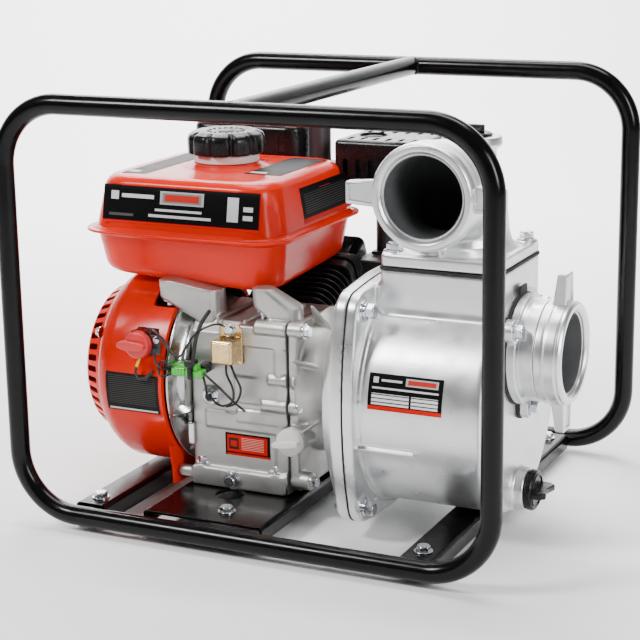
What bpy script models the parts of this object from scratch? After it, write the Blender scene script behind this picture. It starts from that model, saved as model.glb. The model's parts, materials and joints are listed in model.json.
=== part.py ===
"""A gas engine trash pump: a self-priming pump and a single-cylinder engine in a tube frame.

Metres, +Z up. The origin is on the floor under the middle of the pump. The crankshaft runs along X,
the pump is at +X, the recoil starter at -X, the fuel tank at -Y and the cylinder head at +Y.
"""

import math

import bmesh
import bpy
from mathutils import Matrix, Vector

# Driving dimensions, in metres
GAP = 0.0003                 # between two pieces that touch
TUBE_R = 0.0106              # half-inch pipe frame
FRAME_X = -0.0053            # middle of the frame
FRAME_HALF = 0.25            # middle of the frame to the centre line of a leg
LOOP_Y = 0.214               # centre line of each loop
RAIL_Z = 0.0155              # centre line of the bottom rails
TOP_Z = 0.4255               # centre line of the top rails
CORNER_R = 0.0623            # centre line radius of the loops' corners
SHAFT_Y, SHAFT_Z = -0.040, 0.1335
FLOOR_TOP = 0.0280           # top of the engine plate
CASE_X0, CASE_X1 = -0.1140, -0.0055
COVER_X1 = 0.0300            # outer face of the crankcase side cover
CYL_TILT = math.radians(25)  # the cylinder leans up from the horizontal
BORE_R, STROKE = 0.034, 0.054
RIM_X, FRONT_X = -0.1290, -0.2400   # blower housing rim and recoil cover front
PUMP_X0, PUMP_X1 = 0.0750, 0.2112   # pump casing
PUMP_R = 0.1110
PORT_R = 0.0388              # three-inch ports
PORT_X, TOP_FLANGE_Z = 0.1494, 0.2665
OUTLET_Y, OUTLET_Z = -0.1450, 0.3455
INLET_X, INLET_Z = 0.2659, 0.1859
TANK_LOW, TANK_HIGH = (-0.250, -0.108, 0.238), (-0.0155, 0.118, 0.3375)
TANK_SEAM_Z = 0.2810
CAP_X, CAP_Y, CAP_LOW, CAP_TOP = -0.1350, 0.0150, 0.3504, 0.3745

SHAFT = Vector((0, SHAFT_Y, SHAFT_Z))
CYL_AXIS = Vector((0, math.cos(CYL_TILT), math.sin(CYL_TILT)))
CYL_X = -0.062               # the cylinder's middle along the crankshaft

# Scene and material helpers

for old in list(bpy.data.objects):
    bpy.data.objects.remove(old, do_unlink=True)

PARTS = bpy.data.collections.new("trash_pump")
bpy.context.scene.collection.children.link(PARTS)


def material(name, color, roughness, metallic=0.0):
    """A Principled material with one finish."""
    made = bpy.data.materials.new(name)
    made.use_nodes = True
    shader = made.node_tree.nodes["Principled BSDF"]
    shader.inputs["Base Color"].default_value = (*color, 1)
    shader.inputs["Roughness"].default_value = roughness
    shader.inputs["Metallic"].default_value = metallic
    made.diffuse_color = (*color, 1)
    return made


BLACK_PAINT = material("black_paint", (0.010, 0.010, 0.011), 0.18)
DARK_STEEL = material("dark_steel", (0.045, 0.045, 0.048), 0.45, 0.4)
RED_PAINT = material("red_paint", (0.72, 0.055, 0.018), 0.22)
CAST_ALUMINIUM = material("cast_aluminium", (0.50, 0.50, 0.49), 0.42, 0.9)
BRIGHT_ALUMINIUM = material("bright_aluminium", (0.68, 0.69, 0.70), 0.30, 0.9)
BLACK_CASTING = material("black_casting", (0.020, 0.020, 0.021), 0.50, 0.2)
BLACK_PLASTIC = material("black_plastic", (0.018, 0.018, 0.020), 0.38)
GREY_PLASTIC = material("grey_plastic", (0.36, 0.36, 0.37), 0.45)
WHITE_PLASTIC = material("white_plastic", (0.80, 0.79, 0.78), 0.40)
RED_PLASTIC = material("red_plastic", (0.62, 0.020, 0.020), 0.35)
RUBBER = material("rubber", (0.020, 0.020, 0.020), 0.80)
ZINC = material("zinc", (0.62, 0.63, 0.65), 0.25, 1.0)
STEEL = material("steel", (0.45, 0.45, 0.46), 0.30, 1.0)
CAST_IRON = material("cast_iron", (0.16, 0.16, 0.165), 0.60, 0.8)
GOLD_ZINC = material("gold_zinc", (0.62, 0.42, 0.16), 0.35, 0.9)
FOAM = material("foam", (0.10, 0.10, 0.10), 0.95)

# Modelling helpers. Each makes an object, and fuse and cut apply a Boolean to it.


def add(name, mesh, finish):
    """A mesh as an object of the pump, shaded smooth over its shallow edges."""
    obj = bpy.data.objects.new(name, mesh)
    PARTS.objects.link(obj)
    if finish:
        mesh.materials.clear()
        mesh.materials.append(finish)
    mesh.shade_smooth()
    mesh.set_sharp_from_angle(angle=math.radians(32))
    return obj


def baked(obj):
    """The object with its modifiers applied and its place moved into its mesh."""
    graph = bpy.context.evaluated_depsgraph_get()
    mesh = bpy.data.meshes.new_from_object(obj.evaluated_get(graph))
    mesh.transform(obj.matrix_world)
    if obj.matrix_world.determinant() < 0:
        mesh.flip_normals()
    name, finish = obj.name, obj.active_material
    bpy.data.objects.remove(obj, do_unlink=True)
    work = bmesh.new()
    work.from_mesh(mesh)
    bmesh.ops.remove_doubles(work, verts=work.verts, dist=0.000002)
    bmesh.ops.recalc_face_normals(work, faces=work.faces)
    work.to_mesh(mesh)
    work.free()
    return add(name, mesh, finish)


def combine(target, others, operation):
    """Applies a Boolean of each other object to the target, and removes the others."""
    for other in others:
        bpy.context.view_layer.update()
        boolean = target.modifiers.new(operation.lower(), "BOOLEAN")
        boolean.operation = operation
        boolean.solver = "EXACT"
        boolean.object = other
        target = baked(target)
        bpy.data.objects.remove(other, do_unlink=True)
    return target


def fuse(target, *others):
    return combine(target, others, "UNION")


def cut(target, *others):
    return combine(target, others, "DIFFERENCE")


def from_bmesh(name, work, finish):
    mesh = bpy.data.meshes.new(name)
    bmesh.ops.recalc_face_normals(work, faces=work.faces)
    work.to_mesh(mesh)
    work.free()
    return add(name, mesh, finish)


def box(name, low, high, finish=None, bevel=0.0, segments=1):
    """A box between two corners, with its edges rounded by bevel."""
    work = bmesh.new()
    low, high = Vector(low), Vector(high)
    size = high - low
    place = Matrix.Translation((low + high) / 2) @ Matrix.Diagonal((*size, 1))
    bmesh.ops.create_cube(work, size=1, matrix=place)
    if bevel:
        bmesh.ops.bevel(
            work, geom=list(work.edges), offset=bevel, segments=segments, affect="EDGES", profile=0.5
        )
    return from_bmesh(name, work, finish)


def rod(name, start, end, radius, finish=None, sides=24, end_radius=None, turn=0.0):
    """A cylinder or a cone from start to end."""
    start, end = Vector(start), Vector(end)
    way = end - start
    place = (
        Matrix.Translation((start + end) / 2)
        @ way.to_track_quat("Z", "Y").to_matrix().to_4x4()
        @ Matrix.Rotation(turn, 4, "Z")
    )
    work = bmesh.new()
    bmesh.ops.create_cone(
        work,
        cap_ends=True,
        segments=sides,
        radius1=radius,
        radius2=radius if end_radius is None else end_radius,
        depth=way.length,
        matrix=place,
    )
    return from_bmesh(name, work, finish)


def turned(name, profile, origin, axis, finish=None, steps=32):
    """A profile of (radius, height along the axis), from its top down its outer side, turned by a Screw."""
    mesh = bpy.data.meshes.new(name)
    mesh.from_pydata([(r, 0, h) for r, h in profile], [(i, i + 1) for i in range(len(profile) - 1)], [])
    obj = bpy.data.objects.new(name, mesh)
    PARTS.objects.link(obj)
    if finish:
        mesh.materials.append(finish)
    obj.location = origin
    obj.rotation_mode = "QUATERNION"
    obj.rotation_quaternion = Vector(axis).to_track_quat("Z", "Y")
    screw = obj.modifiers.new("turn", "SCREW")
    screw.steps = screw.render_steps = steps
    screw.use_merge_vertices = True
    screw.merge_threshold = 0.00001
    bpy.context.view_layer.update()
    return baked(obj)


AXIS_FRAMES = {
    "x": Matrix(((0, 0, 1, 0), (1, 0, 0, 0), (0, 1, 0, 0), (0, 0, 0, 1))),
    "y": Matrix(((1, 0, 0, 0), (0, 0, -1, 0), (0, 1, 0, 0), (0, 0, 0, 1))),
    "z": Matrix.Identity(4),
}


def slab(name, outline, axis, low, high, finish=None, bevel=0.0, holes=()):
    """A flat outline, of (y, z), (x, z) or (x, y) points, made thick from low to high along an axis."""
    curve = bpy.data.curves.new(name, "CURVE")
    curve.dimensions = "2D"
    curve.fill_mode = "BOTH"
    curve.extrude = (high - low) / 2
    for ring in (outline, *holes):
        spline = curve.splines.new("POLY")
        spline.points.add(len(ring) - 1)
        for point, (a, b) in zip(spline.points, ring):
            point.co = (a, b, 0, 1)
        spline.use_cyclic_u = True
    obj = bpy.data.objects.new(name, curve)
    PARTS.objects.link(obj)
    if finish:
        curve.materials.append(finish)
    middle = (low + high) / 2 * (-1 if axis == "y" else 1)
    obj.matrix_world = AXIS_FRAMES[axis] @ Matrix.Translation((0, 0, middle))
    bpy.context.view_layer.update()
    obj = baked(obj)
    if bevel:
        work = bmesh.new()
        work.from_mesh(obj.data)
        sharp = [e for e in work.edges if e.calc_face_angle(0) > math.radians(60)]
        bmesh.ops.bevel(work, geom=sharp, offset=bevel, segments=1, affect="EDGES", profile=0.5)
        work.to_mesh(obj.data)
        work.free()
    return obj


def sweep(name, points, radius, finish=None, cyclic=False, resolution=3):
    """A round bar along a line of points."""
    curve = bpy.data.curves.new(name, "CURVE")
    curve.dimensions = "3D"
    curve.bevel_depth = radius
    curve.bevel_resolution = resolution
    curve.use_fill_caps = not cyclic
    spline = curve.splines.new("POLY")
    spline.points.add(len(points) - 1)
    for point, place in zip(spline.points, points):
        point.co = (*place, 1)
    spline.use_cyclic_u = cyclic
    obj = bpy.data.objects.new(name, curve)
    PARTS.objects.link(obj)
    if finish:
        curve.materials.append(finish)
    bpy.context.view_layer.update()
    return baked(obj)


def arc(a, b, radius, start, stop, count):
    """Points on an arc about (a, b), from start to stop degrees, both ends included."""
    angles = (math.radians(start + (stop - start) * i / (count - 1)) for i in range(count))
    return [(a + radius * math.cos(t), b + radius * math.sin(t)) for t in angles]


def round_rect(low_a, low_b, high_a, high_b, radius, count=4):
    """A rectangle with round corners, counter-clockwise."""
    corners = (
        (high_a - radius, low_b + radius, -90),
        (high_a - radius, high_b - radius, 0),
        (low_a + radius, high_b - radius, 90),
        (low_a + radius, low_b + radius, 180),
    )
    return [p for a, b, start in corners for p in arc(a, b, radius, start, start + 90, count)]


def circle(a, b, radius, count=24):
    return arc(a, b, radius, 0, 360 * (count - 1) / count, count)


def loft(name, rings, finish=None):
    """A closed skin through rings of 3-D points, all with the same number of points."""
    work = bmesh.new()
    loops = [[work.verts.new(p) for p in ring] for ring in rings]
    count = len(loops[0])
    for lower, upper in zip(loops, loops[1:]):
        for i in range(count):
            j = (i + 1) % count
            work.faces.new((lower[i], lower[j], upper[j], upper[i]))
    work.faces.new(list(reversed(loops[0])))
    work.faces.new(loops[-1])
    return from_bmesh(name, work, finish)


def hexagon(name, place, axis, across, height, finish=None):
    """A hexagon nut or bolt head standing on a place along an axis."""
    start = Vector(place)
    end = start + Vector(axis).normalized() * height
    return rod(name, start, end, across / math.sqrt(3), finish, sides=6)


def along(distance, sideways=0.0, x=CYL_X):
    """A point in the cylinder's own plane: distance from the crankshaft, sideways upwards across it."""
    across = Vector((0, -math.sin(CYL_TILT), math.cos(CYL_TILT)))
    point = SHAFT + CYL_AXIS * distance + across * sideways
    return Vector((x, point.y, point.z))


def pivot(obj, place):
    """Moves the object's origin to a place on its joint's axis."""
    place = Vector(place)
    obj.data.transform(Matrix.Translation(-place))
    obj.matrix_world = Matrix.Translation(place)
    return obj


# Frame: two tube loops, a crossbar, two channels, the engine plate and four rubber feet

LEFT, RIGHT = FRAME_X - FRAME_HALF, FRAME_X + FRAME_HALF
INNER_Y = LOOP_Y - TUBE_R - GAP
LOOP = round_rect(LEFT, RAIL_Z, RIGHT, TOP_Z, CORNER_R, count=6)
for side, y in (("near", -LOOP_Y), ("far", LOOP_Y)):
    sweep(f"frame_loop_{side}", [(x, y, z) for x, z in LOOP], TUBE_R, BLACK_PAINT, cyclic=True)

crossbar = rod(
    "top_crossbar", (FRAME_X, -LOOP_Y + 0.002, TOP_Z), (FRAME_X, LOOP_Y - 0.002, TOP_Z),
    TUBE_R, BLACK_PAINT, sides=14,
)
for y in (-LOOP_Y, LOOP_Y):
    saddle = rod("saddle", (FRAME_X - 0.03, y, TOP_Z), (FRAME_X + 0.03, y, TOP_Z), TUBE_R + 2 * GAP)
    crossbar = cut(crossbar, saddle)

CHANNEL_LOW, CHANNEL_WALL = 0.0065, 0.0028
FOOT_R, FOOT_Y = 0.0128, 0.1835
CHANNELS = {"left": (-0.1993, -0.1653, 0.0255), "right": (0.1497, 0.1857, 0.0220)}


def channel(name, x0, x1, top, low, wall):
    """A folded channel with its open side down, between the two bottom rails."""
    outline = [
        (x0, low), (x0 + wall, low), (x0 + wall, top - wall), (x1 - wall, top - wall),
        (x1 - wall, low), (x1, low), (x1, top), (x0, top),
    ]
    return slab(name, outline, "y", -INNER_Y, INNER_Y, BLACK_PAINT)


for side, (x0, x1, beam_top) in CHANNELS.items():
    beam = channel(f"cross_channel_{side}", x0, x1, beam_top, CHANNEL_LOW, CHANNEL_WALL)
    for end, y in (("near", -FOOT_Y), ("far", FOOT_Y)):
        x = (x0 + x1) / 2
        top = beam_top - CHANNEL_WALL - GAP
        turned(
            f"rubber_foot_{side}_{end}",
            [
                (0, top), (FOOT_R - 0.001, top), (FOOT_R, top - 0.001), (FOOT_R, 0.002),
                (FOOT_R - 0.0015, 0), (0, 0),
            ],
            (x, y, 0), (0, 0, 1), RUBBER, steps=16,
        )
        head = hexagon("head", (x, y, beam_top - 0.001), (0, 0, 1), 0.012, 0.0065)
        beam = fuse(beam, head)

PLATE_X0, PLATE_X1, PLATE_WALL = -0.1213, 0.0097, 0.0030
plate = channel("engine_plate", PLATE_X0, PLATE_X1, FLOOR_TOP, 0.0120, PLATE_WALL)
plate = cut(plate, rod("drain_hole", (-0.0630, -0.1300, 0), (-0.0630, -0.1300, 0.05), 0.0150))
plate = fuse(plate, hexagon("plate_bolt", (-0.0425, -0.1760, FLOOR_TOP - 0.001), (0, 0, 1), 0.012, 0.006))

# Engine: crankcase, side cover, cylinder, head, rocker cover and what turns inside

CASE_PROFILE = [
    (-0.118, FLOOR_TOP + GAP), (0.056, FLOOR_TOP + GAP), (0.056, 0.0495), (0.046, 0.0495), (0.046, 0.0960),
    (0.0352, 0.1189), (-0.0028, 0.2005), (-0.100, 0.2005), (-0.112, 0.1890), (-0.112, 0.0495), (-0.118, 0.0495),
]
CASE_CAVITY = [
    (-0.106, 0.0390), (0.039, 0.0390), (0.039, 0.0940),
    (0.0290, 0.1150), (-0.0070, 0.1940), (-0.097, 0.1940), (-0.106, 0.1850),
]
BASE_BOLTS = [(x, y) for y in (-0.1080, 0.0480) for x in (-0.0990, -0.0190)]

DRAIN_X, DRAIN_Z = -0.0645, 0.0390
DIPSTICK = Vector((0.0020, -0.1215, 0.0890))
crankcase = slab("crankcase", CASE_PROFILE, "x", CASE_X0, CASE_X1, CAST_ALUMINIUM)
crankcase = fuse(
    crankcase,
    box("arm_left", (-0.154, -0.111, 0.2125), (-0.104, -0.072, 0.2377), bevel=0.004),
    box("post_left", (-0.1135, -0.110, 0.1900), (-0.0960, -0.072, 0.2376), bevel=0.003),
    box("post_right", (-0.047, -0.111, 0.1850), (-0.016, -0.072, 0.2377), bevel=0.006),
    rod("pad", (-0.106, SHAFT_Y, SHAFT_Z), (-0.1205, SHAFT_Y, SHAFT_Z), 0.024, sides=24),
)
for z, radius in ((0.1985, 0.0080), (0.1464, 0.0070), (0.1195, 0.0080)):
    lug = rod("lug", (-0.035, -0.1085, z), (CASE_X1 - 0.0005, -0.1085, z), radius, sides=12)
    crankcase = fuse(crankcase, lug)
for x, y in BASE_BOLTS:
    crankcase = fuse(crankcase, hexagon("bolt", (x, y, 0.049), (0, 0, 1), 0.0125, 0.0085))
crankcase = cut(
    crankcase,
    slab("cavity", CASE_CAVITY, "x", CASE_X0 + 0.006, CASE_X1 + 0.01),
    rod("liner_hole", along(0.04), along(0.09), BORE_R + 0.0045, sides=32),
    rod("shaft_hole", (-0.14, SHAFT_Y, SHAFT_Z), (-0.09, SHAFT_Y, SHAFT_Z), 0.0140, sides=24),
    rod("filler_notch", (DIPSTICK.x, -0.13, DIPSTICK.z), (DIPSTICK.x, -0.085, DIPSTICK.z), 0.0130, sides=24),
    rod("drain_thread", (DRAIN_X, -0.13, DRAIN_Z), (DRAIN_X, -0.10, DRAIN_Z), 0.0055, sides=16),
)

COVER_PROFILE = [
    (-0.108, 0.0350), (0.040, 0.0350), (0.046, 0.0450), (0.046, 0.0960), (0.0352, 0.1189),
    (-0.0028, 0.2005), (-0.096, 0.2005), (-0.110, 0.1880), (-0.112, 0.0600),
]
COVER_BOLTS = [
    (-0.106, 0.1985), (-0.107, 0.1195), (-0.104, 0.0435), (0.034, 0.050), (0.034, 0.102), (-0.016, 0.192),
]
cover = slab("crankcase_side_cover", COVER_PROFILE, "x", CASE_X1 + GAP, CASE_X1 + 0.0150, CAST_ALUMINIUM)
cover = fuse(
    cover,
    rod("filler_boss", DIPSTICK, DIPSTICK + Vector((0, 0.03, 0)), 0.0125, sides=24),
    rod("dome", (0.005, SHAFT_Y, SHAFT_Z), (COVER_X1, SHAFT_Y, SHAFT_Z), 0.074, sides=28, end_radius=0.060),
)
for y, z in COVER_BOLTS:
    cover = fuse(
        cover,
        rod("pillar", (-0.001, y, z), (0.0165, y, z), 0.0085, sides=10),
        hexagon("cover_bolt", (0.0160, y, z), (1, 0, 0), 0.010, 0.0085),
    )
cover = cut(
    cover,
    rod("hollow", (-0.02, SHAFT_Y, SHAFT_Z), (0.020, SHAFT_Y, SHAFT_Z), 0.056, sides=24),
    rod("shaft_hole", (0.0, SHAFT_Y, SHAFT_Z), (0.05, SHAFT_Y, SHAFT_Z), 0.0140, sides=24),
    rod("filler_hole", (DIPSTICK.x, -0.13, DIPSTICK.z), (DIPSTICK.x, -0.085, DIPSTICK.z), 0.0085, sides=20),
)

CYL_START, CYL_END, HEAD_END, ROCKER_END = 0.062, 0.122, 0.164, 0.196
PLUG_D, PLUG_LOW = 0.1475, -0.022


def tilted_block(name, start, end, half_x, half_side, finish=None, lift=0.0):
    """A block whose length lies along the cylinder's axis."""
    across = Vector((0, -math.sin(CYL_TILT), math.cos(CYL_TILT)))
    work = bmesh.new()
    turn = Matrix((Vector((1, 0, 0)), across, CYL_AXIS)).transposed().to_4x4()
    place = Matrix.Translation(along((start + end) / 2, lift)) @ turn
    scale = Matrix.Diagonal((2 * half_x, 2 * half_side, end - start, 1))
    bmesh.ops.create_cube(work, size=1, matrix=place @ scale)
    return from_bmesh(name, work, finish)


cylinder = rod("cylinder_barrel", along(CYL_START + GAP), along(CYL_END), 0.0435, BLACK_CASTING, sides=20)
for i in range(6):
    start = CYL_START + 0.004 + i * 0.0096
    fin = tilted_block("fin", start, start + 0.0028, 0.0495, 0.0495)
    cylinder = fuse(cylinder, fin)
cylinder = cut(cylinder, rod("bore", along(0.03), along(0.2), BORE_R, sides=24))

head = tilted_block("cylinder_head", CYL_END + GAP, CYL_END + 0.012, 0.0515, 0.0560, BLACK_CASTING)
for i in range(4):
    start = CYL_END + 0.0160 + i * 0.0070
    head = fuse(head, tilted_block("fin", start, start + 0.0026, 0.0515, 0.0560))
head = fuse(
    head,
    tilted_block("core", CYL_END + 0.010, HEAD_END, 0.0400, 0.0400),
    box("exhaust_port", (-0.0220, 0.0850, 0.1950), (0.0125, 0.1390, 0.2300)),
)
head = cut(head, box("tank_room", (-0.1300, 0.0, 0.2372), (0.0, 0.1500, 0.3000)))
plug_line = (along(PLUG_D, PLUG_LOW, 0.01), along(PLUG_D, PLUG_LOW, -0.0380))
head = cut(head, rod("plug_hole", *plug_line, 0.0070, sides=16))

rocker = tilted_block("rocker_cover", HEAD_END + GAP, ROCKER_END, 0.0360, 0.0340, BLACK_PAINT)
work = bmesh.new()
work.from_mesh(rocker.data)
bmesh.ops.bevel(work, geom=list(work.edges), offset=0.006, segments=2, affect="EDGES", profile=0.5)
work.to_mesh(rocker.data)
work.free()
rocker = cut(rocker, tilted_block("hollow", HEAD_END - 0.01, ROCKER_END - 0.003, 0.0290, 0.0270))

turned(
    "spark_plug",
    [(0, 0.052), (0.0035, 0.052), (0.0035, 0.047), (0.0050, 0.045), (0.0050, 0.026), (0.0103, 0.024),
     (0.0103, 0.0147), (0.0066, 0.0135), (0.0066, 0.001), (0, 0.001)],
    along(PLUG_D, PLUG_LOW, -0.0235), Vector((1, 0, 0)), WHITE_PLASTIC, steps=16,
)

PISTON_D = 0.088
piston = rod("piston", along(PISTON_D), along(PISTON_D + 0.030), BORE_R - 0.0004, ZINC, sides=24)
piston = cut(piston, rod("skirt", along(PISTON_D - 0.01), along(PISTON_D + 0.023), BORE_R - 0.005, sides=20))
piston = fuse(
    piston,
    rod(
        "wrist_pin", along(PISTON_D + 0.010, 0, CYL_X - 0.0305), along(PISTON_D + 0.010, 0, CYL_X + 0.0305),
        0.0070, sides=16,
    ),
)

THROW, TIMING_R = STROKE / 2, 0.0190
WEB_LEFT, WEB_RIGHT = CYL_X - 0.0160, CYL_X + 0.0160
pin = SHAFT + Vector((0, 0, -THROW))
crank = rod(
    "crankshaft", (-0.222, SHAFT_Y, SHAFT_Z), (WEB_LEFT - 0.002, SHAFT_Y, SHAFT_Z), 0.0120, STEEL, sides=16
)
crank = fuse(
    crank,
    rod("output", (WEB_RIGHT + 0.002, SHAFT_Y, SHAFT_Z), (0.0985, SHAFT_Y, SHAFT_Z), 0.0120, sides=16),
    rod("timing_gear", (-0.0190, SHAFT_Y, SHAFT_Z), (-0.0110, SHAFT_Y, SHAFT_Z), TIMING_R, sides=16),
    rod("journal_left", (-0.1030, SHAFT_Y, SHAFT_Z), (-0.090, SHAFT_Y, SHAFT_Z), 0.0170, sides=16),
    rod("crankpin", (WEB_LEFT - 0.004, pin.y, pin.z), (WEB_RIGHT + 0.004, pin.y, pin.z), 0.0150, sides=16),
)
WEB = arc(SHAFT_Y, SHAFT_Z, 0.0380, 0, 180, 9) + arc(SHAFT_Y, SHAFT_Z - THROW, 0.0165, 200, 340, 5)
for x0, x1 in ((WEB_LEFT - 0.010, WEB_LEFT), (WEB_RIGHT, WEB_RIGHT + 0.010)):
    crank = fuse(crank, slab("web", WEB, "x", x0, x1))
pivot(crank, SHAFT)

CAM_Y, CAM_Z = SHAFT_Y - 0.0200, SHAFT_Z - 0.0540
cam_gear_r = math.hypot(SHAFT_Y - CAM_Y, SHAFT_Z - CAM_Z) - TIMING_R - 0.0005
cam = rod("camshaft", (-0.1050, CAM_Y, CAM_Z), (-0.0075, CAM_Y, CAM_Z), 0.0060, STEEL, sides=16)
cam = fuse(
    cam,
    rod("cam_gear", (-0.0190, CAM_Y, CAM_Z), (-0.0110, CAM_Y, CAM_Z), cam_gear_r, sides=32),
    rod("lobe_in", (-0.0930, CAM_Y, CAM_Z + 0.004), (-0.0900, CAM_Y, CAM_Z + 0.004), 0.0090, sides=16),
    rod("lobe_out", (-0.0995, CAM_Y, CAM_Z - 0.004), (-0.0965, CAM_Y, CAM_Z - 0.004), 0.0090, sides=16),
)
pivot(cam, (0, CAM_Y, CAM_Z))

# Fan side: shroud, flywheel, blower housing, recoil cover, pulley and handle

HOUSING_R, WALL = 0.1035, 0.0020
shroud = turned(
    "flywheel_shroud",
    [(0.032, 0.1285), (0.100, 0.1285), (0.100, 0.1265), (0.092, 0.1235), (0.086, 0.1165), (0.086, 0.1143),
     (0.032, 0.1143), (0.032, 0.1285)],
    (0, SHAFT_Y, SHAFT_Z), (-1, 0, 0), ZINC, steps=32,
)
shroud = cut(shroud, box("arm_notch", (-0.1565, -0.1135, 0.2100), (-0.100, -0.0695, 0.2600)))
fan = turned(
    "flywheel_fan",
    [(0.013, 0.1510), (0.020, 0.1900), (0.030, 0.1900), (0.032, 0.1570), (0.078, 0.1510), (0.080, 0.1490),
     (0.080, 0.1320), (0.070, 0.1320), (0.066, 0.1420), (0.013, 0.1420), (0.013, 0.1510)],
    (0, SHAFT_Y, SHAFT_Z), (-1, 0, 0), CAST_IRON, steps=24,
)
blades = []
for i in range(8):
    blade = box("blade", (-0.1860, 0.034, -0.0012), (-0.1480, 0.0790, 0.0012))
    turn = Matrix.Rotation(math.radians(45 * i), 4, "X") @ Matrix.Translation((0, 0, 0.012))
    blade.matrix_world = Matrix.Translation(SHAFT) @ turn
    bpy.context.view_layer.update()
    blades.append(baked(blade))
fan = fuse(fan, *blades)
pivot(fan, SHAFT)

OUTER = [
    (0, 0.2150), (0.0870, 0.2150), (0.0900, 0.2140), (0.0965, 0.2090), (0.1015, 0.2030),
    (HOUSING_R, 0.1970), (HOUSING_R, -RIM_X), (0, -RIM_X),
]
INNER = [
    (0, 0.2130), (0.0865, 0.2130), (0.0892, 0.2120), (0.0950, 0.2075), (0.0997, 0.2020),
    (HOUSING_R - WALL, 0.1965), (HOUSING_R - WALL, -RIM_X - 0.01), (0, -RIM_X - 0.01),
]
SWITCH_X, SWITCH_Z = -0.1530, 0.1790
housing = turned("blower_housing", OUTER, (0, SHAFT_Y, SHAFT_Z), (-1, 0, 0), RED_PAINT, steps=32)
foot = round_rect(-0.1230, 0.0265, -0.020, 0.090, 0.006)
housing = fuse(
    housing,
    rod("rim", (RIM_X, SHAFT_Y, SHAFT_Z), (RIM_X - 0.002, SHAFT_Y, SHAFT_Z), 0.1040, sides=32),
    slab("rim_foot", foot, "x", RIM_X - 0.002, RIM_X),
)
housing = cut(
    housing,
    turned("housing_hollow", INNER, (0, SHAFT_Y, SHAFT_Z), (-1, 0, 0), steps=32),
    rod("front_hole", (-0.25, SHAFT_Y, SHAFT_Z), (-0.20, SHAFT_Y, SHAFT_Z), 0.0700, sides=32),
    box("arm_pocket", (-0.1565, -0.1135, 0.2100), (-0.120, -0.0695, 0.2500)),
    box(
        "switch_hole", (SWITCH_X - 0.0123, -0.160, SWITCH_Z - 0.0123),
        (SWITCH_X + 0.0123, -0.11, SWITCH_Z + 0.0123),
    ),
)

RECOIL_OUTER = [
    (0, -FRONT_X), (0.0680, -FRONT_X), (0.0770, 0.2360), (0.0855, 0.2153), (0, 0.2153),
]
RECOIL_INNER = [
    (0, 0.2380), (0.0670, 0.2380), (0.0752, 0.2350), (0.0835, 0.2150), (0.0840, 0.2100), (0, 0.2100),
]
GRIP_Y, GRIP_Z, GRIP_X = 0.0520, SHAFT_Z + 0.0480, -0.2260
recoil = turned("recoil_cover", RECOIL_OUTER, (0, SHAFT_Y, SHAFT_Z), (-1, 0, 0), RED_PAINT, steps=44)
recoil = cut(recoil, turned("recoil_hollow", RECOIL_INNER, (0, SHAFT_Y, SHAFT_Z), (-1, 0, 0), steps=44))
recoil = fuse(
    recoil,
    box(
        "rope_guide", (GRIP_X - 0.010, 0.0150, GRIP_Z - 0.0100), (GRIP_X + 0.010, 0.0420, GRIP_Z + 0.0100),
        bevel=0.002,
    ),
)
SLOTS = 44
slots = bmesh.new()
for i in range(SLOTS):
    angle = 2 * math.pi * (i + 0.5) / SLOTS
    if abs(math.degrees(math.atan2(math.sin(angle - 0.9), math.cos(angle - 0.9)))) < 17:
        continue
    place = (
        Matrix.Translation((-0.2270, SHAFT_Y, SHAFT_Z))
        @ Matrix.Rotation(angle, 4, "X")
        @ Matrix.Translation((0, 0.080, 0))
        @ Matrix.Diagonal((0.0130, 0.020, 0.0056, 1))
    )
    bmesh.ops.create_cube(slots, size=1, matrix=place)
recoil = cut(recoil, from_bmesh("slots", slots, None))
recoil = cut(
    recoil,
    rod("rope_hole", (GRIP_X, 0.0, GRIP_Z), (GRIP_X, 0.06, GRIP_Z), 0.0045, sides=12),
)

pulley = turned(
    "recoil_pulley",
    [(0.006, 0.2365), (0.050, 0.2365), (0.050, 0.2340), (0.044, 0.2325), (0.044, 0.2285), (0.050, 0.2270),
     (0.050, 0.2245), (0.006, 0.2245), (0.006, 0.2365)],
    (0, SHAFT_Y, SHAFT_Z), (-1, 0, 0), BLACK_PLASTIC, steps=24,
)
window_low = (-0.24, SHAFT_Y + 0.018, SHAFT_Z - 0.006)
window_high = (-0.22, SHAFT_Y + 0.032, SHAFT_Z + 0.006)
pulley = cut(pulley, box("catch_window", window_low, window_high))
pivot(pulley, SHAFT)

grip = rod(
    "starter_handle", (GRIP_X, GRIP_Y, GRIP_Z - 0.036), (GRIP_X, GRIP_Y, GRIP_Z + 0.036), 0.0080,
    BLACK_PLASTIC, sides=16
)
grip = fuse(
    grip,
    rod("neck", (GRIP_X, GRIP_Y, GRIP_Z), (GRIP_X, 0.0425, GRIP_Z), 0.0090, sides=16, end_radius=0.0060),
)
pivot(grip, (GRIP_X, GRIP_Y, GRIP_Z))

# Stop switch, oil alert unit, their leads, dipstick and drain bolt

SWITCH_FACE = -0.1440
box(
    "stop_switch_base", (SWITCH_X - 0.012, SWITCH_FACE, SWITCH_Z - 0.012),
    (SWITCH_X + 0.012, -0.1260, SWITCH_Z + 0.012),
    BLACK_PLASTIC, bevel=0.002,
)
knob = turned(
    "stop_switch_knob",
    [(0, 0.0100), (0.0105, 0.0100), (0.0130, 0.0085), (0.0140, 0), (0, 0)],
    (SWITCH_X, SWITCH_FACE - GAP, SWITCH_Z), (0, -1, 0), RED_PLASTIC, steps=24,
)
knob = fuse(
    knob,
    box("wing", (SWITCH_X - 0.019, SWITCH_FACE - 0.0150, SWITCH_Z - 0.0030),
        (SWITCH_X + 0.0115, SWITCH_FACE - 0.0050, SWITCH_Z + 0.0030), bevel=0.001),
)
pivot(knob, (SWITCH_X, SWITCH_FACE, SWITCH_Z))

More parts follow.
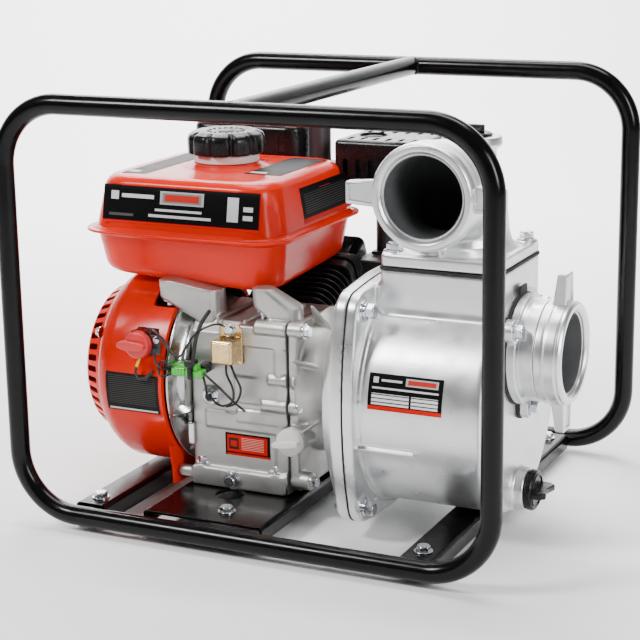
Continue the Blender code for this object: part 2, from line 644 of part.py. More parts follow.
WALL_Y = -0.112 - GAP
alert = box(
    "oil_alert_unit", (-0.0770, -0.1370, 0.1640), (-0.0540, WALL_Y - 0.002, 0.1880), GOLD_ZINC, bevel=0.0025
)
alert = fuse(
    alert,
    box("bracket", (-0.0780, WALL_Y - 0.0025, 0.1600), (-0.0530, WALL_Y, 0.2000), bevel=0.0006),
    hexagon("screw", (-0.0740, WALL_Y - 0.002, 0.1920), (0, -1, 0), 0.0085, 0.005),
)

LEAD_R = 0.0015
SWITCH_LEAD = [
    (-0.1385, -0.1390, 0.1800), (-0.1335, -0.1460, 0.1870), (-0.1260, -0.1480, 0.1870),
    (-0.1210, -0.1460, 0.1760),
    (-0.1230, -0.1450, 0.1660), (-0.1262, -0.1430, 0.1590), (-0.1223, -0.1370, 0.1555),
]
ALERT_LEAD = [
    (-0.0655, -0.1250, 0.1636), (-0.0640, -0.1290, 0.1480), (-0.0560, -0.1320, 0.1330),
    (-0.0600, -0.1330, 0.1190),
    (-0.0740, -0.1300, 0.1170), (-0.0840, -0.1220, 0.1210), (-0.0880, -0.1178, 0.1240),
]


def smooth_line(points, steps=3):
    """A Catmull-Rom line through the points."""
    ends = [points[0], *points, points[-1]]
    line = []
    for a, b, c, d in zip(ends, ends[1:], ends[2:], ends[3:]):
        a, b, c, d = Vector(a), Vector(b), Vector(c), Vector(d)
        for i in range(steps):
            t = i / steps
            square, cube = 2 * a - 5 * b + 4 * c - d, 3 * b - a - 3 * c + d
            line.append(0.5 * (2 * b + (c - a) * t + square * t**2 + cube * t**3))
    return [*line, Vector(points[-1])]


sweep("switch_lead", smooth_line(SWITCH_LEAD, 2), LEAD_R, RUBBER, resolution=2)
alert_lead = sweep("oil_alert_lead", smooth_line(ALERT_LEAD, 2), LEAD_R, RUBBER, resolution=2)
fuse(
    alert_lead,
    turned("grommet", [(0, 0.0050), (0.0070, 0.0050), (0.0090, 0.0030), (0.0090, 0), (0, 0)],
           (-0.0900, WALL_Y, 0.1240), (0, -1, 0), steps=20),
)
GREEN_PLASTIC = material("green_plastic", (0.030, 0.420, 0.040), 0.4)
connector = box(
    "lead_connector", (-0.1210, -0.1400, 0.1480), (-0.0870, -0.1270, 0.1610), GREEN_PLASTIC, bevel=0.0015
)
fuse(connector, box("clip", (-0.0980, -0.1280, 0.1490), (-0.0900, WALL_Y, 0.1590), bevel=0.0008))

dipstick = turned(
    "dipstick",
    [(0, 0.0085), (0.0115, 0.0085), (0.0135, 0.0070), (0.0140, 0.0003), (0.0070, 0.0003), (0.0070, -0.0180),
     (0.0020, -0.0185), (0.0020, -0.0330), (0, -0.0330)],
    DIPSTICK, (0, -1, 0), GREY_PLASTIC, steps=18,
)
dipstick = fuse(
    dipstick,
    box("wing", (DIPSTICK.x - 0.0150, DIPSTICK.y - 0.0150, DIPSTICK.z - 0.0028),
        (DIPSTICK.x + 0.0150, DIPSTICK.y - 0.0040, DIPSTICK.z + 0.0028), bevel=0.0012),
)
pivot(dipstick, DIPSTICK)

drain = rod("oil_drain_bolt", (DRAIN_X, -0.1183, DRAIN_Z), (DRAIN_X, -0.1210, DRAIN_Z), 0.0085, ZINC, sides=20)
drain = fuse(
    drain,
    hexagon("head", (DRAIN_X, -0.1205, DRAIN_Z), (0, -1, 0), 0.0120, 0.0065),
    rod("thread", (DRAIN_X, -0.1190, DRAIN_Z), (DRAIN_X, -0.1080, DRAIN_Z), 0.0050, sides=14),
)

# Fuel tank, neck and cap

SEAM_HALF, TANK_WALL = 0.0012, 0.0020


def tank_ring(z, inset, radius):
    low, high = TANK_LOW, TANK_HIGH
    outline = round_rect(low[0] + inset, low[1] + inset, high[0] - inset, high[1] - inset, radius, count=4)
    return [(x, y, z) for x, y in outline]


def tank_skin(name, shrink, finish=None):
    """The tank's outer skin, or the same skin shrunk all round by a wall."""
    low, high = TANK_LOW[2] + shrink, TANK_HIGH[2] - shrink
    rings = [
        tank_ring(low, 0.028 + shrink, 0.030), tank_ring(low + 0.0030, 0.0210 + shrink, 0.034),
        tank_ring(low + 0.0110, 0.0155 + shrink, 0.034), tank_ring(TANK_SEAM_Z, 0.0090 + shrink, 0.034),
        tank_ring(high - 0.0110, 0.0160 + shrink, 0.034), tank_ring(high - 0.0040, 0.0190 + shrink, 0.034),
        tank_ring(high - 0.0010, 0.0245 + shrink, 0.030), tank_ring(high, 0.0320 + shrink, 0.026),
    ]
    return loft(name, rings, finish)


NECK_TOP = 0.3500
tank = tank_skin("fuel_tank", 0, RED_PAINT)
seam = round_rect(TANK_LOW[0], TANK_LOW[1], TANK_HIGH[0], TANK_HIGH[1], 0.036, count=4)
tank = fuse(
    tank,
    slab("seam", seam, "z", TANK_SEAM_Z - SEAM_HALF, TANK_SEAM_Z + SEAM_HALF),
    turned("boss", [(0, 0.3415), (0.0370, 0.3415), (0.0410, 0.3400), (0.0440, 0.3360), (0, 0.3360)],
           (CAP_X, CAP_Y, 0), (0, 0, 1), steps=36),
    rod("neck", (CAP_X, CAP_Y, 0.336), (CAP_X, CAP_Y, NECK_TOP), 0.0290, sides=32),
)
tank = cut(
    tank,
    rod("neck_bore", (CAP_X, CAP_Y, 0.33), (CAP_X, CAP_Y, 0.37), 0.0260, sides=32),
    tank_skin("tank_hollow", TANK_WALL),
)
turned(
    "tank_neck_ring",
    [(0.0293, 0.3500), (0.0335, 0.3500), (0.0345, 0.3490), (0.0345, 0.3418), (0.0293, 0.3418),
        (0.0293, 0.3500)],
    (CAP_X, CAP_Y, 0), (0, 0, 1), WHITE_PLASTIC, steps=28,
)
CAP_PROFILE = [
    (0, CAP_TOP), (0.0300, CAP_TOP), (0.0365, CAP_TOP - 0.0015), (0.0395, CAP_TOP - 0.0045),
    (0.0395, CAP_LOW), (0, CAP_LOW),
]
CAP_LOBES = 10
cap = turned("fuel_cap", CAP_PROFILE, (CAP_X, CAP_Y, 0), (0, 0, 1), BLACK_PLASTIC, steps=28)
lobes = bmesh.new()
for i in range(CAP_LOBES):
    angle = 2 * math.pi * i / CAP_LOBES
    place = Matrix.Translation((CAP_X + 0.0356 * math.cos(angle), CAP_Y + 0.0356 * math.sin(angle), 0.3600))
    bmesh.ops.create_cone(
        lobes, cap_ends=True, segments=6, radius1=0.0062, radius2=0.0056, depth=0.0168, matrix=place
    )
cap = fuse(
    cap,
    from_bmesh("lobes", lobes, None),
    rod("plug", (CAP_X, CAP_Y, 0.3540), (CAP_X, CAP_Y, 0.3430), 0.0240, sides=28),
)
pivot(cap, (CAP_X, CAP_Y, NECK_TOP))

# Carburettor, its levers, air cleaner, muffler and guard

HEAD_X0 = CYL_X - 0.0515
CARB_LOW, CARB_HIGH = (-0.1500, 0.0860, 0.1830), (-0.1190, 0.1180, 0.2250)
carb = box("carburetor", CARB_LOW, CARB_HIGH, CAST_ALUMINIUM, bevel=0.002)
CARB_Y, CARB_Z = 0.1020, 0.2040
carb = fuse(
    carb,
    rod("flange", (-0.1210, CARB_Y, CARB_Z), (HEAD_X0 - GAP, CARB_Y, CARB_Z), 0.0165, sides=20),
    rod("bowl", (-0.1340, CARB_Y, 0.1840), (-0.1340, CARB_Y, 0.1620), 0.0155, sides=20, end_radius=0.0140),
    box("control_plate", (-0.1480, 0.0880, 0.2245), (-0.1180, 0.1400, 0.2265)),
)
carb = cut(carb, rod("throat", (-0.16, CARB_Y, CARB_Z), (-0.10, CARB_Y, CARB_Z), 0.0110, sides=20))
LEVERS = (("choke_lever", -0.1400, 0.2140, 0.030), ("fuel_valve_lever", -0.1400, 0.1885, 0.027))
for name, x, z, reach in LEVERS:
    lever = rod(name, (x, 0.1183, z), (x, 0.1240, z), 0.0065, GREY_PLASTIC, sides=18)
    lever = fuse(
        lever,
        box("arm", (x, 0.1200, z - 0.0030), (x + reach, 0.1230, z + 0.0030), bevel=0.0008),
        box("tab", (x + reach - 0.008, 0.1205, z - 0.0045), (x + reach, 0.1320, z + 0.0045), bevel=0.0010),
    )
    pivot(lever, (x, 0.1183, z))
THROTTLE = Vector((-0.1250, 0.1280, 0.2268))
throttle = rod("throttle_lever", THROTTLE, THROTTLE + Vector((0, 0, 0.005)), 0.0070, STEEL, sides=18)
throttle = fuse(
    throttle,
    box("arm", THROTTLE + Vector((-0.0040, 0, 0.001)), THROTTLE + Vector((0.0040, 0.0460, 0.0030)),
        bevel=0.0005),
    box("tip", THROTTLE + Vector((-0.0055, 0.0360, 0.0005)),
        THROTTLE + Vector((0.0055, 0.0520, 0.0085)), bevel=0.0015),
)
pivot(throttle, THROTTLE)

CLEANER = Vector((-0.1900, 0.1560, 0))
cleaner_base = slab(
    "air_cleaner_base", round_rect(-0.2360, 0.1130, -0.0700, 0.2000, 0.015), "z", 0.3050, 0.3170,
    DARK_STEEL, bevel=0.002
)
DUCT = [(-0.1505, CARB_Y, CARB_Z), (-0.1580, CARB_Y, CARB_Z), (-0.1740, 0.1090, 0.2060),
    (-0.1870, 0.1300, 0.2200),
        (-0.1900, 0.1500, 0.2500), (-0.1900, 0.1560, 0.2850), (-0.1900, 0.1560, 0.3100)]
cleaner_base = fuse(cleaner_base, sweep("duct", DUCT, 0.0155, resolution=4))
cleaner_base = cut(
    cleaner_base,
    sweep("duct_bore", [(-0.1440, CARB_Y, CARB_Z), *DUCT[1:], (-0.1900, 0.1560, 0.3250)], 0.0115, resolution=3),
)
cleaner_base = fuse(
    cleaner_base,
    rod("stud", (-0.1900, 0.1745, 0.3100), (-0.1900, 0.1745, 0.3790), 0.0030, sides=12),
    turned("breather",
           [(0, 0.3720), (0.0110, 0.3720), (0.0122, 0.3705), (0.0122, 0.3260), (0.0134, 0.3240),
               (0.0134, 0.3160), (0, 0.3160)],
           (-0.0850, 0.1400, 0), (0, 0, 1), steps=24),
)
cleaner_cover = slab(
    "air_cleaner_cover", round_rect(-0.2345, 0.1145, -0.0990, 0.1985, 0.019), "z", 0.3173, 0.3660,
    BLACK_PLASTIC, bevel=0.005
)
cleaner_cover = cut(
    cleaner_cover,
    slab("cover_hollow", round_rect(-0.2320, 0.1170, -0.1015, 0.1960, 0.017), "z", 0.3100, 0.3632),
    rod("stud_hole", (-0.1900, 0.1745, 0.35), (-0.1900, 0.1745, 0.38), 0.0036, sides=12),
)
filter_ring = slab(
    "air_filter_element", round_rect(-0.2290, 0.1200, -0.1045, 0.1930, 0.015), "z", 0.3173, 0.3560, FOAM,
    holes=[round_rect(-0.2140, 0.1350, -0.1195, 0.1850, 0.008)[::-1]],
)
nut = turned(
    "air_cleaner_wing_nut",
    [(0.0033, 0.3760), (0.0055, 0.3760), (0.0070, 0.3663), (0.0033, 0.3663), (0.0033, 0.3760)],
    (-0.1900, 0.1745, 0), (0, 0, 1), ZINC, steps=16,
)
for side in (-1, 1):
    nut = fuse(nut, box("wing", (-0.1900 + side * 0.0042 - (0.0128 if side < 0 else 0), 0.1733, 0.3680),
                        (-0.1900 + side * 0.0042 + (0.0128 if side > 0 else 0), 0.1757, 0.3770), bevel=0.0008))
pivot(nut, (-0.1900, 0.1745, 0.3663))
GUARD_LOW, GUARD_HIGH = (-0.0560, 0.1115, 0.2880), (0.0460, 0.1990, 0.3545)
GUARD_WALL = 0.0015
muffler = box(
    "muffler", (-0.0500, 0.1180, 0.2900), (0.0400, 0.1930, GUARD_HIGH[2] - GUARD_WALL - GAP),
    BLACK_CASTING, bevel=0.012,
)
muffler = fuse(muffler, rod("pipe", (0.0, 0.1260, 0.2310), (0.0, 0.1260, 0.3000), 0.0110, sides=20),
               box("flange", (-0.0120, 0.1130, 0.2303), (0.0120, 0.1390, 0.2340)))
muffler = cut(muffler, rod("outlet", (0.015, 0.170, 0.32), (0.05, 0.180, 0.30), 0.0080, sides=16),
              box("chamber", (-0.045, 0.125, 0.295), (0.035, 0.187, 0.346), bevel=0.010),
              rod("pipe_bore", (0.0, 0.1260, 0.2200), (0.0, 0.1260, 0.3100), 0.0090, sides=16))
guard = box("muffler_guard", GUARD_LOW, GUARD_HIGH, BLACK_PAINT, bevel=0.006)
guard = cut(
    guard,
    box("guard_hollow", (GUARD_LOW[0] + GUARD_WALL, GUARD_LOW[1] + GUARD_WALL, 0.27),
        (GUARD_HIGH[0] - GUARD_WALL, GUARD_HIGH[1] - GUARD_WALL, GUARD_HIGH[2] - GUARD_WALL), bevel=0.0054),
    rod("round_hole", (-0.028, 0.157, 0.34), (-0.028, 0.157, 0.36), 0.0150, sides=28),
)
louvres = bmesh.new()
for y in (0.1250, 0.1850):
    for i in range(6):
        place = Matrix.Translation((-0.042 + 0.0148 * i, y, 0.352)) @ Matrix.Diagonal((0.0055, 0.018, 0.02, 1))
        bmesh.ops.create_cube(louvres, size=1, matrix=place)
for i in range(6):
    place = Matrix.Translation((-0.042 + 0.0148 * i, 0.112, 0.319)) @ Matrix.Diagonal((0.0055, 0.02, 0.030, 1))
    bmesh.ops.create_cube(louvres, size=1, matrix=place)
guard = cut(guard, from_bmesh("louvres", louvres, None))

# Pump: adapter, casing, volute, impeller, seal, discharge elbow, suction flange and plugs

CORNER_ROUND = 0.0220


def flange_quarter(middle, sink, corner_z, steps):
    """The far upper quarter of the pump flange: a bowed side, a round corner and a bowed top."""
    side = [(0.1205 - 0.0105 * (t / 0.09) ** 2, t) for t in (0.0, 0.035, 0.070)]
    turns = [math.radians(14 + 68 * i / steps) for i in range(steps + 1)]
    corner = [(0.0860 + CORNER_ROUND * math.cos(t), corner_z + CORNER_ROUND * math.sin(t)) for t in turns]
    top = [(t, middle - sink * (t / 0.09) ** 2) for t in (0.070, 0.035, 0.0)]
    return side + corner + top


def flange_outline(steps=3):
    """A square with bowed sides and round corners, a little lower below the shaft than above it."""
    upper = flange_quarter(0.1215, 0.0065, 0.0935, steps)
    lower = [(a, -b) for a, b in flange_quarter(0.1185, 0.0035, 0.0915, steps)]
    half = lower[::-1] + upper[1:]
    whole = half + [(-a, b) for a, b in half[::-1]][1:-1]
    return [(SHAFT_Y + a, SHAFT_Z + b) for a, b in whole]


FLANGE = flange_outline()
FLANGE_BOLTS = [(y, z) for y, z in ((-0.1325, 0.2325), (0.0525, 0.2325), (-0.1375, 0.0375), (0.0575, 0.0375))]
adapter_work = bmesh.new()
for x, outline in (
    (PUMP_X0 - GAP, FLANGE), (PUMP_X0 - 0.0115, FLANGE), (0.0517, circle(SHAFT_Y, SHAFT_Z, 0.1150, 40)),
):
    for y, z in outline:
        adapter_work.verts.new((x, y, z))
bmesh.ops.convex_hull(adapter_work, input=adapter_work.verts)
adapter = from_bmesh("pump_adapter", adapter_work, BRIGHT_ALUMINIUM)
BOWL_POCKET = [
    (0.0300, 0.0800), (0.1075, 0.0800), (0.1075, 0.0600), (0.1050, 0.0575), (0.0300, 0.0575), (0.0300, 0.0800),
]
adapter = fuse(
    adapter,
    rod("neck", (COVER_X1 + GAP, SHAFT_Y, SHAFT_Z), (0.053, SHAFT_Y, SHAFT_Z), 0.058, sides=40,
        end_radius=0.070),
)
adapter = cut(
    adapter,
    turned("pocket", BOWL_POCKET, (0, SHAFT_Y, SHAFT_Z), (1, 0, 0), steps=32),
    rod("seal_bore", (0.02, SHAFT_Y, SHAFT_Z), (0.09, SHAFT_Y, SHAFT_Z), 0.0225, sides=20),
)
turned(
    "mechanical_seal",
    [(0.0130, 0.0790), (0.0180, 0.0790), (0.0222, 0.0740), (0.0222, 0.0550), (0.0130, 0.0550),
        (0.0130, 0.0790)],
    (0, SHAFT_Y, SHAFT_Z), (1, 0, 0), RUBBER, steps=20,
)

BOX_X0, BOX_X1, BOX_Y0, BOX_Y1 = 0.0897, 0.2087, -0.1035, 0.0235
SUCTION = Vector((0, SHAFT_Y, INLET_Z))
casing = slab("pump_casing", FLANGE, "x", PUMP_X0, PUMP_X0 + 0.0110, BRIGHT_ALUMINIUM, bevel=0.0015)
casing = fuse(
    casing,
    rod("drum", (PUMP_X0 + 0.002, SHAFT_Y, SHAFT_Z), (PUMP_X1, SHAFT_Y, SHAFT_Z), PUMP_R, sides=36),
    box("tower", (BOX_X0, BOX_Y0, 0.150), (BOX_X1, BOX_Y1, TOP_FLANGE_Z), bevel=0.007, segments=2),
    rod("drain_boss", (0.200, SHAFT_Y, 0.0430), (0.2220, SHAFT_Y, 0.0430), 0.0215, sides=28),
)
for y, z in FLANGE_BOLTS:
    casing = fuse(casing, hexagon("bolt", (PUMP_X0 + 0.0100, y, z), (1, 0, 0), 0.0130, 0.0120))
casing = cut(
    casing,
    rod(
        "drum_hollow", (PUMP_X0 - 0.01, SHAFT_Y, SHAFT_Z), (PUMP_X1 - 0.006, SHAFT_Y, SHAFT_Z), PUMP_R - 0.006,
        sides=28,
    ),
    box(
        "tower_hollow", (BOX_X0 + 0.006, BOX_Y0 + 0.006, 0.180),
        (BOX_X1 - 0.006, BOX_Y1 - 0.006, TOP_FLANGE_Z - 0.008),
    ),
    rod("top_opening", (PORT_X, SHAFT_Y, 0.25), (PORT_X, SHAFT_Y, 0.28), PORT_R, sides=32),
    rod("inlet_opening", (0.19, SHAFT_Y, INLET_Z), (0.23, SHAFT_Y, INLET_Z), 0.0450, sides=28),
    rod("drain_opening", (0.19, SHAFT_Y, 0.0430), (0.23, SHAFT_Y, 0.0430), 0.0110, sides=20),
)

volute = turned(
    "volute",
    [(0.0240, 0.1350), (0.0420, 0.1350), (0.0740, 0.1180), (0.0780, 0.1120), (0.0780, 0.0752), (0.0740, 0.0752),
     (0.0740, 0.1100), (0.0400, 0.1300), (0.0240, 0.1310), (0.0240, 0.1350)],
    (0, SHAFT_Y, SHAFT_Z), (1, 0, 0), CAST_IRON, steps=24,
)
volute = cut(
    volute,
    box("throat", (0.0800, SHAFT_Y - 0.030, SHAFT_Z + 0.06), (0.1080, SHAFT_Y + 0.030, SHAFT_Z + 0.09)),
)
impeller = turned(
    "impeller",
    [
        (0, 0.1060), (0.0110, 0.1060), (0.0170, 0.0920), (0.0600, 0.0880), (0.0600, 0.0840), (0.0122, 0.0840),
        (0.0122, 0.0990), (0, 0.0990),
    ],
    (0, SHAFT_Y, SHAFT_Z), (1, 0, 0), CAST_IRON, steps=24,
)
for i in range(4):
    start = 90 * i
    spine = [(0.0130 + 0.0115 * k, start + 15.5 * k) for k in range(5)]
    front = [(r * math.cos(math.radians(t)), r * math.sin(math.radians(t))) for r, t in spine]
    rear_spine = [(r + 0.0005, math.radians(t + 0.6 / r)) for r, t in reversed(spine)]
    back = [(r * math.cos(t), r * math.sin(t)) for r, t in rear_spine]
    vane = [(SHAFT_Y + a, SHAFT_Z + b) for a, b in front + back]
    impeller = fuse(impeller, slab("vane", vane, "x", 0.0860, 0.1020))
pivot(impeller, SHAFT)

TOP = round_rect(BOX_X0, BOX_Y0, BOX_X1, BOX_Y1, 0.008)
slab(
    "discharge_gasket", round_rect(BOX_X0 - 0.001, BOX_Y0 - 0.001, BOX_X1 + 0.001, BOX_Y1 + 0.001, 0.008), "z",
    TOP_FLANGE_Z + GAP, TOP_FLANGE_Z + 0.0027, RUBBER, holes=[circle(PORT_X, SHAFT_Y, PORT_R, 32)[::-1]],
)
ELBOW_Z = TOP_FLANGE_Z + 0.0030
NECK_R = 0.0447
BEND_R = 0.0550
BEND = [(PORT_X, y, z) for y, z in arc(SHAFT_Y - BEND_R, OUTLET_Z - BEND_R, BEND_R, 0, 90, 6)]
elbow = slab("discharge_elbow", TOP, "z", ELBOW_Z, ELBOW_Z + 0.0120, BRIGHT_ALUMINIUM, bevel=0.0015)
elbow = fuse(
    elbow,
    sweep(
        "bend", [(PORT_X, SHAFT_Y, ELBOW_Z + 0.006), *BEND, (PORT_X, -0.1180, OUTLET_Z)], 0.0465, resolution=8
    ),
    rod("spout", (PORT_X, -0.1100, OUTLET_Z), (PORT_X, OUTLET_Y + 0.0053, OUTLET_Z), NECK_R, sides=28),
    turned(
        "fill_boss",
        [
            (0, 0.3855), (0.0285, 0.3855), (0.0300, 0.3840), (0.0300, 0.3765), (0.0240, 0.3720),
            (0.0240, 0.3380), (0, 0.3380),
        ],
        (PORT_X, -0.0120, 0), (0, 0, 1), steps=32,
    ),
)
for x in (BOX_X0 + 0.0095, BOX_X1 - 0.0095):
    for y in (BOX_Y0 + 0.0150, BOX_Y1 - 0.0150):
        elbow = fuse(elbow, hexagon("bolt", (x, y, ELBOW_Z + 0.0115), (0, 0, 1), 0.0130, 0.0085))
elbow = cut(
    elbow,
    sweep(
        "bend_bore", [(PORT_X, SHAFT_Y, ELBOW_Z - 0.01), *BEND, (PORT_X, -0.1600, OUTLET_Z)], PORT_R,
        resolution=8,
    ),
    rod("fill_bore", (PORT_X, -0.0120, 0.4000), (PORT_X, -0.0120, 0.3400), 0.0140, sides=24),
)

fill = turned(
    "fill_plug",
    [
        (0, 0.3890), (0.0180, 0.3890), (0.0200, 0.3875), (0.0200, 0.3858), (0.0136, 0.3858),
        (0.0136, 0.3700), (0, 0.3700),
    ],
    (PORT_X, -0.0120, 0), (0, 0, 1), BLACK_PLASTIC, steps=28,
)
fill = fuse(
    fill,
    box("wing", (PORT_X - 0.0115, -0.0160, 0.3880), (PORT_X + 0.0115, -0.0080, 0.3965), bevel=0.0015),
)
pivot(fill, (PORT_X, -0.0120, 0.3858))

NUT_PROFILE = [
    (0.0400, 0), (0.0485, 0), (0.0505, -0.0020), (0.0505, -0.0260),
    (0.0452, -0.0260), (0.0452, -0.0050), (0.0400, -0.0050), (0.0400, 0),
]
CLAW_ROOT, CLAW_TIP = 0.0485, 0.0778
CLAW = [(CLAW_ROOT, -0.0122), (CLAW_TIP, -0.0105), (CLAW_TIP, 0.0105), (CLAW_ROOT, 0.0122)]
CLAW_FRONT = {CLAW_ROOT: -0.0065, CLAW_TIP: -0.0065}
CLAW_BACK = {CLAW_ROOT: -0.0200, CLAW_TIP: -0.0165}


def claw_nut(name, mouth, axis, sideways):
    """A hose nut with two opposite claws; axis points out of the port and sideways is a claw's direction."""
    nut = turned(name, NUT_PROFILE, mouth, axis, BRIGHT_ALUMINIUM, steps=24)
    axis, sideways = Vector(axis), Vector(sideways)
    across = axis.cross(sideways)
    for side in (-1, 1):
        rings = [
            [Vector(mouth) + sideways * r * side + across * w + axis * depth[r] for r, w in CLAW]
            for depth in (CLAW_BACK, CLAW_FRONT)
        ]
        nut = fuse(nut, loft("claw", rings))
    return pivot(nut, mouth)


claw_nut("discharge_claw_nut", (PORT_X, OUTLET_Y, OUTLET_Z), (0, -1, 0), (1, 0, 0))
claw_nut("suction_claw_nut", (INLET_X, SHAFT_Y, INLET_Z), (1, 0, 0), (0, 0, 1))

LUG_ANGLES = (150, 270, 30)
LUG_R = 0.0580


def lug_outline(grow, tab_half=0.0, tab_reach=0.0):
    """A circle about the inlet with three round lugs, and a straight tab at its top if tab_half is given."""
    outline = []
    for step in range(60):
        turn = math.radians(6 * step)
        reach = 0.0540 + grow
        for angle in LUG_ANGLES:
            off = turn - math.radians(angle)
            across = LUG_R * math.sin(off)
            if math.cos(off) > 0 and abs(across) < LUG_END_R + grow:
                reach = max(reach, LUG_R * math.cos(off) + math.sqrt((LUG_END_R + grow) ** 2 - across**2))
        lean = abs(turn - math.pi / 2)
        if tab_half and tab_reach * math.tan(lean) < tab_half and lean < 1:
            reach = max(reach, tab_reach / math.cos(lean))
        outline.append((SHAFT_Y + reach * math.cos(turn), INLET_Z + reach * math.sin(turn)))
    return outline


LUG_END_R = 0.0115
SEAT_X = PUMP_X1 + 0.0028
slab(
    "suction_gasket", lug_outline(0.001, 0.0100, 0.0620), "x", PUMP_X1 + GAP, PUMP_X1 + 0.0025, RUBBER,
    holes=[circle(SHAFT_Y, INLET_Z, 0.0430, 28)[::-1]],
)
flange = slab("suction_flange", lug_outline(0), "x", SEAT_X, SEAT_X + 0.0090, BRIGHT_ALUMINIUM, bevel=0.0008)
flange = fuse(
    flange,
    rod(
        "wide_neck", (SEAT_X + 0.005, SHAFT_Y, INLET_Z), (INLET_X - 0.0265, SHAFT_Y, INLET_Z), 0.0497, sides=28
    ),
    rod("neck", (INLET_X - 0.0300, SHAFT_Y, INLET_Z), (INLET_X - 0.0053, SHAFT_Y, INLET_Z), NECK_R, sides=28),
)
flange = cut(flange, rod("inlet", (0.20, SHAFT_Y, INLET_Z), (0.28, SHAFT_Y, INLET_Z), PORT_R, sides=28))
for angle in LUG_ANGLES:
    y = SHAFT_Y + LUG_R * math.cos(math.radians(angle))
    z = INLET_Z + LUG_R * math.sin(math.radians(angle))
    flange = fuse(flange, hexagon("bolt", (SEAT_X + 0.0085, y, z), (1, 0, 0), 0.0120, 0.0080))

FLAP_R, FLAP_X0, FLAP_X1 = 0.0402, 0.2107, 0.2137
flap = rod("check_valve_flap", (FLAP_X0, SHAFT_Y, INLET_Z), (FLAP_X1, SHAFT_Y, INLET_Z), FLAP_R, RUBBER,
    sides=28)
pivot(flap, (FLAP_X1, SHAFT_Y, INLET_Z + FLAP_R))

plug = turned(
    "drain_plug",
    [
        (0, 0.0080), (0.0180, 0.0080), (0.0200, 0.0060), (0.0200, 0.0003), (0.0106, 0.0003),
        (0.0106, -0.0150), (0, -0.0150),
    ],
    (0.2220, SHAFT_Y, 0.0430), (1, 0, 0), BLACK_PLASTIC, steps=28,
)
plug = fuse(
    plug,
    box("wing", (0.2290, SHAFT_Y - 0.0200, 0.0395), (0.2440, SHAFT_Y + 0.0200, 0.0465), bevel=0.0020),
)
pivot(plug, (0.2220, SHAFT_Y, 0.0430))
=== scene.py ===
import json
import math

import bmesh
import bpy
from mathutils import Matrix, Vector

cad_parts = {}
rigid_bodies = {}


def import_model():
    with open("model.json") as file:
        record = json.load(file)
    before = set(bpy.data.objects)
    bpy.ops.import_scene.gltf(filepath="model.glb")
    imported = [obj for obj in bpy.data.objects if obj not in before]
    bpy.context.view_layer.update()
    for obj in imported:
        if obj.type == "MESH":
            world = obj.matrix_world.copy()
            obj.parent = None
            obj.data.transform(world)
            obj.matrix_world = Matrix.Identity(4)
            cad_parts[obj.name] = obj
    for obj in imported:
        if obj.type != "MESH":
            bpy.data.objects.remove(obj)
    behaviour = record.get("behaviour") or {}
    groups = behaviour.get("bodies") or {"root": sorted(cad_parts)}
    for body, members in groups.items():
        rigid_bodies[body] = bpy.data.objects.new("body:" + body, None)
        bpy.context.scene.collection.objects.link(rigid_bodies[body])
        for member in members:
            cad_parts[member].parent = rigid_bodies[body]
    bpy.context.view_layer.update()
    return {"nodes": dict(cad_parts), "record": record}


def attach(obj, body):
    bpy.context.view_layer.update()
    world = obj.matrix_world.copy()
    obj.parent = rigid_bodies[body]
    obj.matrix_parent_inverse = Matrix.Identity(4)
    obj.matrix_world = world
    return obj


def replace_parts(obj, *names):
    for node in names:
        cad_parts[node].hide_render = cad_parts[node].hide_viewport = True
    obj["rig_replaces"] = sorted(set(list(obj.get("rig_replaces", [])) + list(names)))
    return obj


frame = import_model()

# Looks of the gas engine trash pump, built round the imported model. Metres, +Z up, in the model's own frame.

TUBE_R, FRAME_X, FRAME_HALF, LOOP_Y = 0.0106, -0.0053, 0.25, 0.214
RAIL_Z, TOP_Z, CORNER_R = 0.0155, 0.4255, 0.0623
SHAFT_Y, SHAFT_Z = -0.04, 0.1335
SHAFT = Vector((0, SHAFT_Y, SHAFT_Z))
CYL_X, CYL_TILT = -0.062, math.radians(25)
CYL_AXIS = Vector((0, math.cos(CYL_TILT), math.sin(CYL_TILT)))
FLOOR_TOP, CASE_X0, CASE_X1 = 0.028, -0.114, -0.0055
PUMP_X0, PUMP_X1, PUMP_R, PORT_R = 0.075, 0.2112, 0.111, 0.0388
PORT_X, TOP_FLANGE_Z, OUTLET_Y, OUTLET_Z = 0.1494, 0.2665, -0.145, 0.3455
INLET_X, INLET_Z, DRAIN_Z = 0.2659, 0.1859, 0.043
TANK_LOW, TANK_HIGH, TANK_SEAM_Z = (-0.25, -0.108, 0.238), (-0.0155, 0.118, 0.3375), 0.281
CAP_X, CAP_Y, CAP_LOW, CAP_TOP = -0.135, 0.015, 0.3504, 0.3743
NEAR_WALL = -0.112

# Directions, and lines as a point and a direction
RIGHTWARD, LEFTWARD, NEARWARD = (1, 0, 0), (-1, 0, 0), (0, -1, 0)
UPWARD, DOWNWARD = (0, 0, 1), (0, 0, -1)
PUMP_LINE, FAN_LINE, CAP_LINE = (SHAFT, RIGHTWARD), (SHAFT, LEFTWARD), ((CAP_X, CAP_Y, 0), UPWARD)
DRAIN_LINE = ((0, SHAFT_Y, DRAIN_Z), RIGHTWARD)

# Materials


def preset(node, values):
    for key, value in values.items():
        node.inputs[key].default_value = value


def noise(made, coord, scale, detail=2.0, roughness=0.5):
    """A noise over the object, as a factor."""
    node = made.node_tree.nodes.new("ShaderNodeTexNoise")
    preset(node, {"Scale": scale, "Detail": detail, "Roughness": roughness})
    made.node_tree.links.new(coord.outputs["Object"], node.inputs["Vector"])
    return node.outputs["Fac"]


def mixed(made, factor, first, second):
    """A mix of two colours, each given as numbers or as another node's output."""
    node = made.node_tree.nodes.new("ShaderNodeMix")
    node.data_type = "RGBA"
    made.node_tree.links.new(factor, node.inputs[0])
    for socket, value in ((node.inputs[6], first), (node.inputs[7], second)):
        if isinstance(value, tuple):
            socket.default_value = value
        else:
            made.node_tree.links.new(value, socket)
    return node.outputs[2]


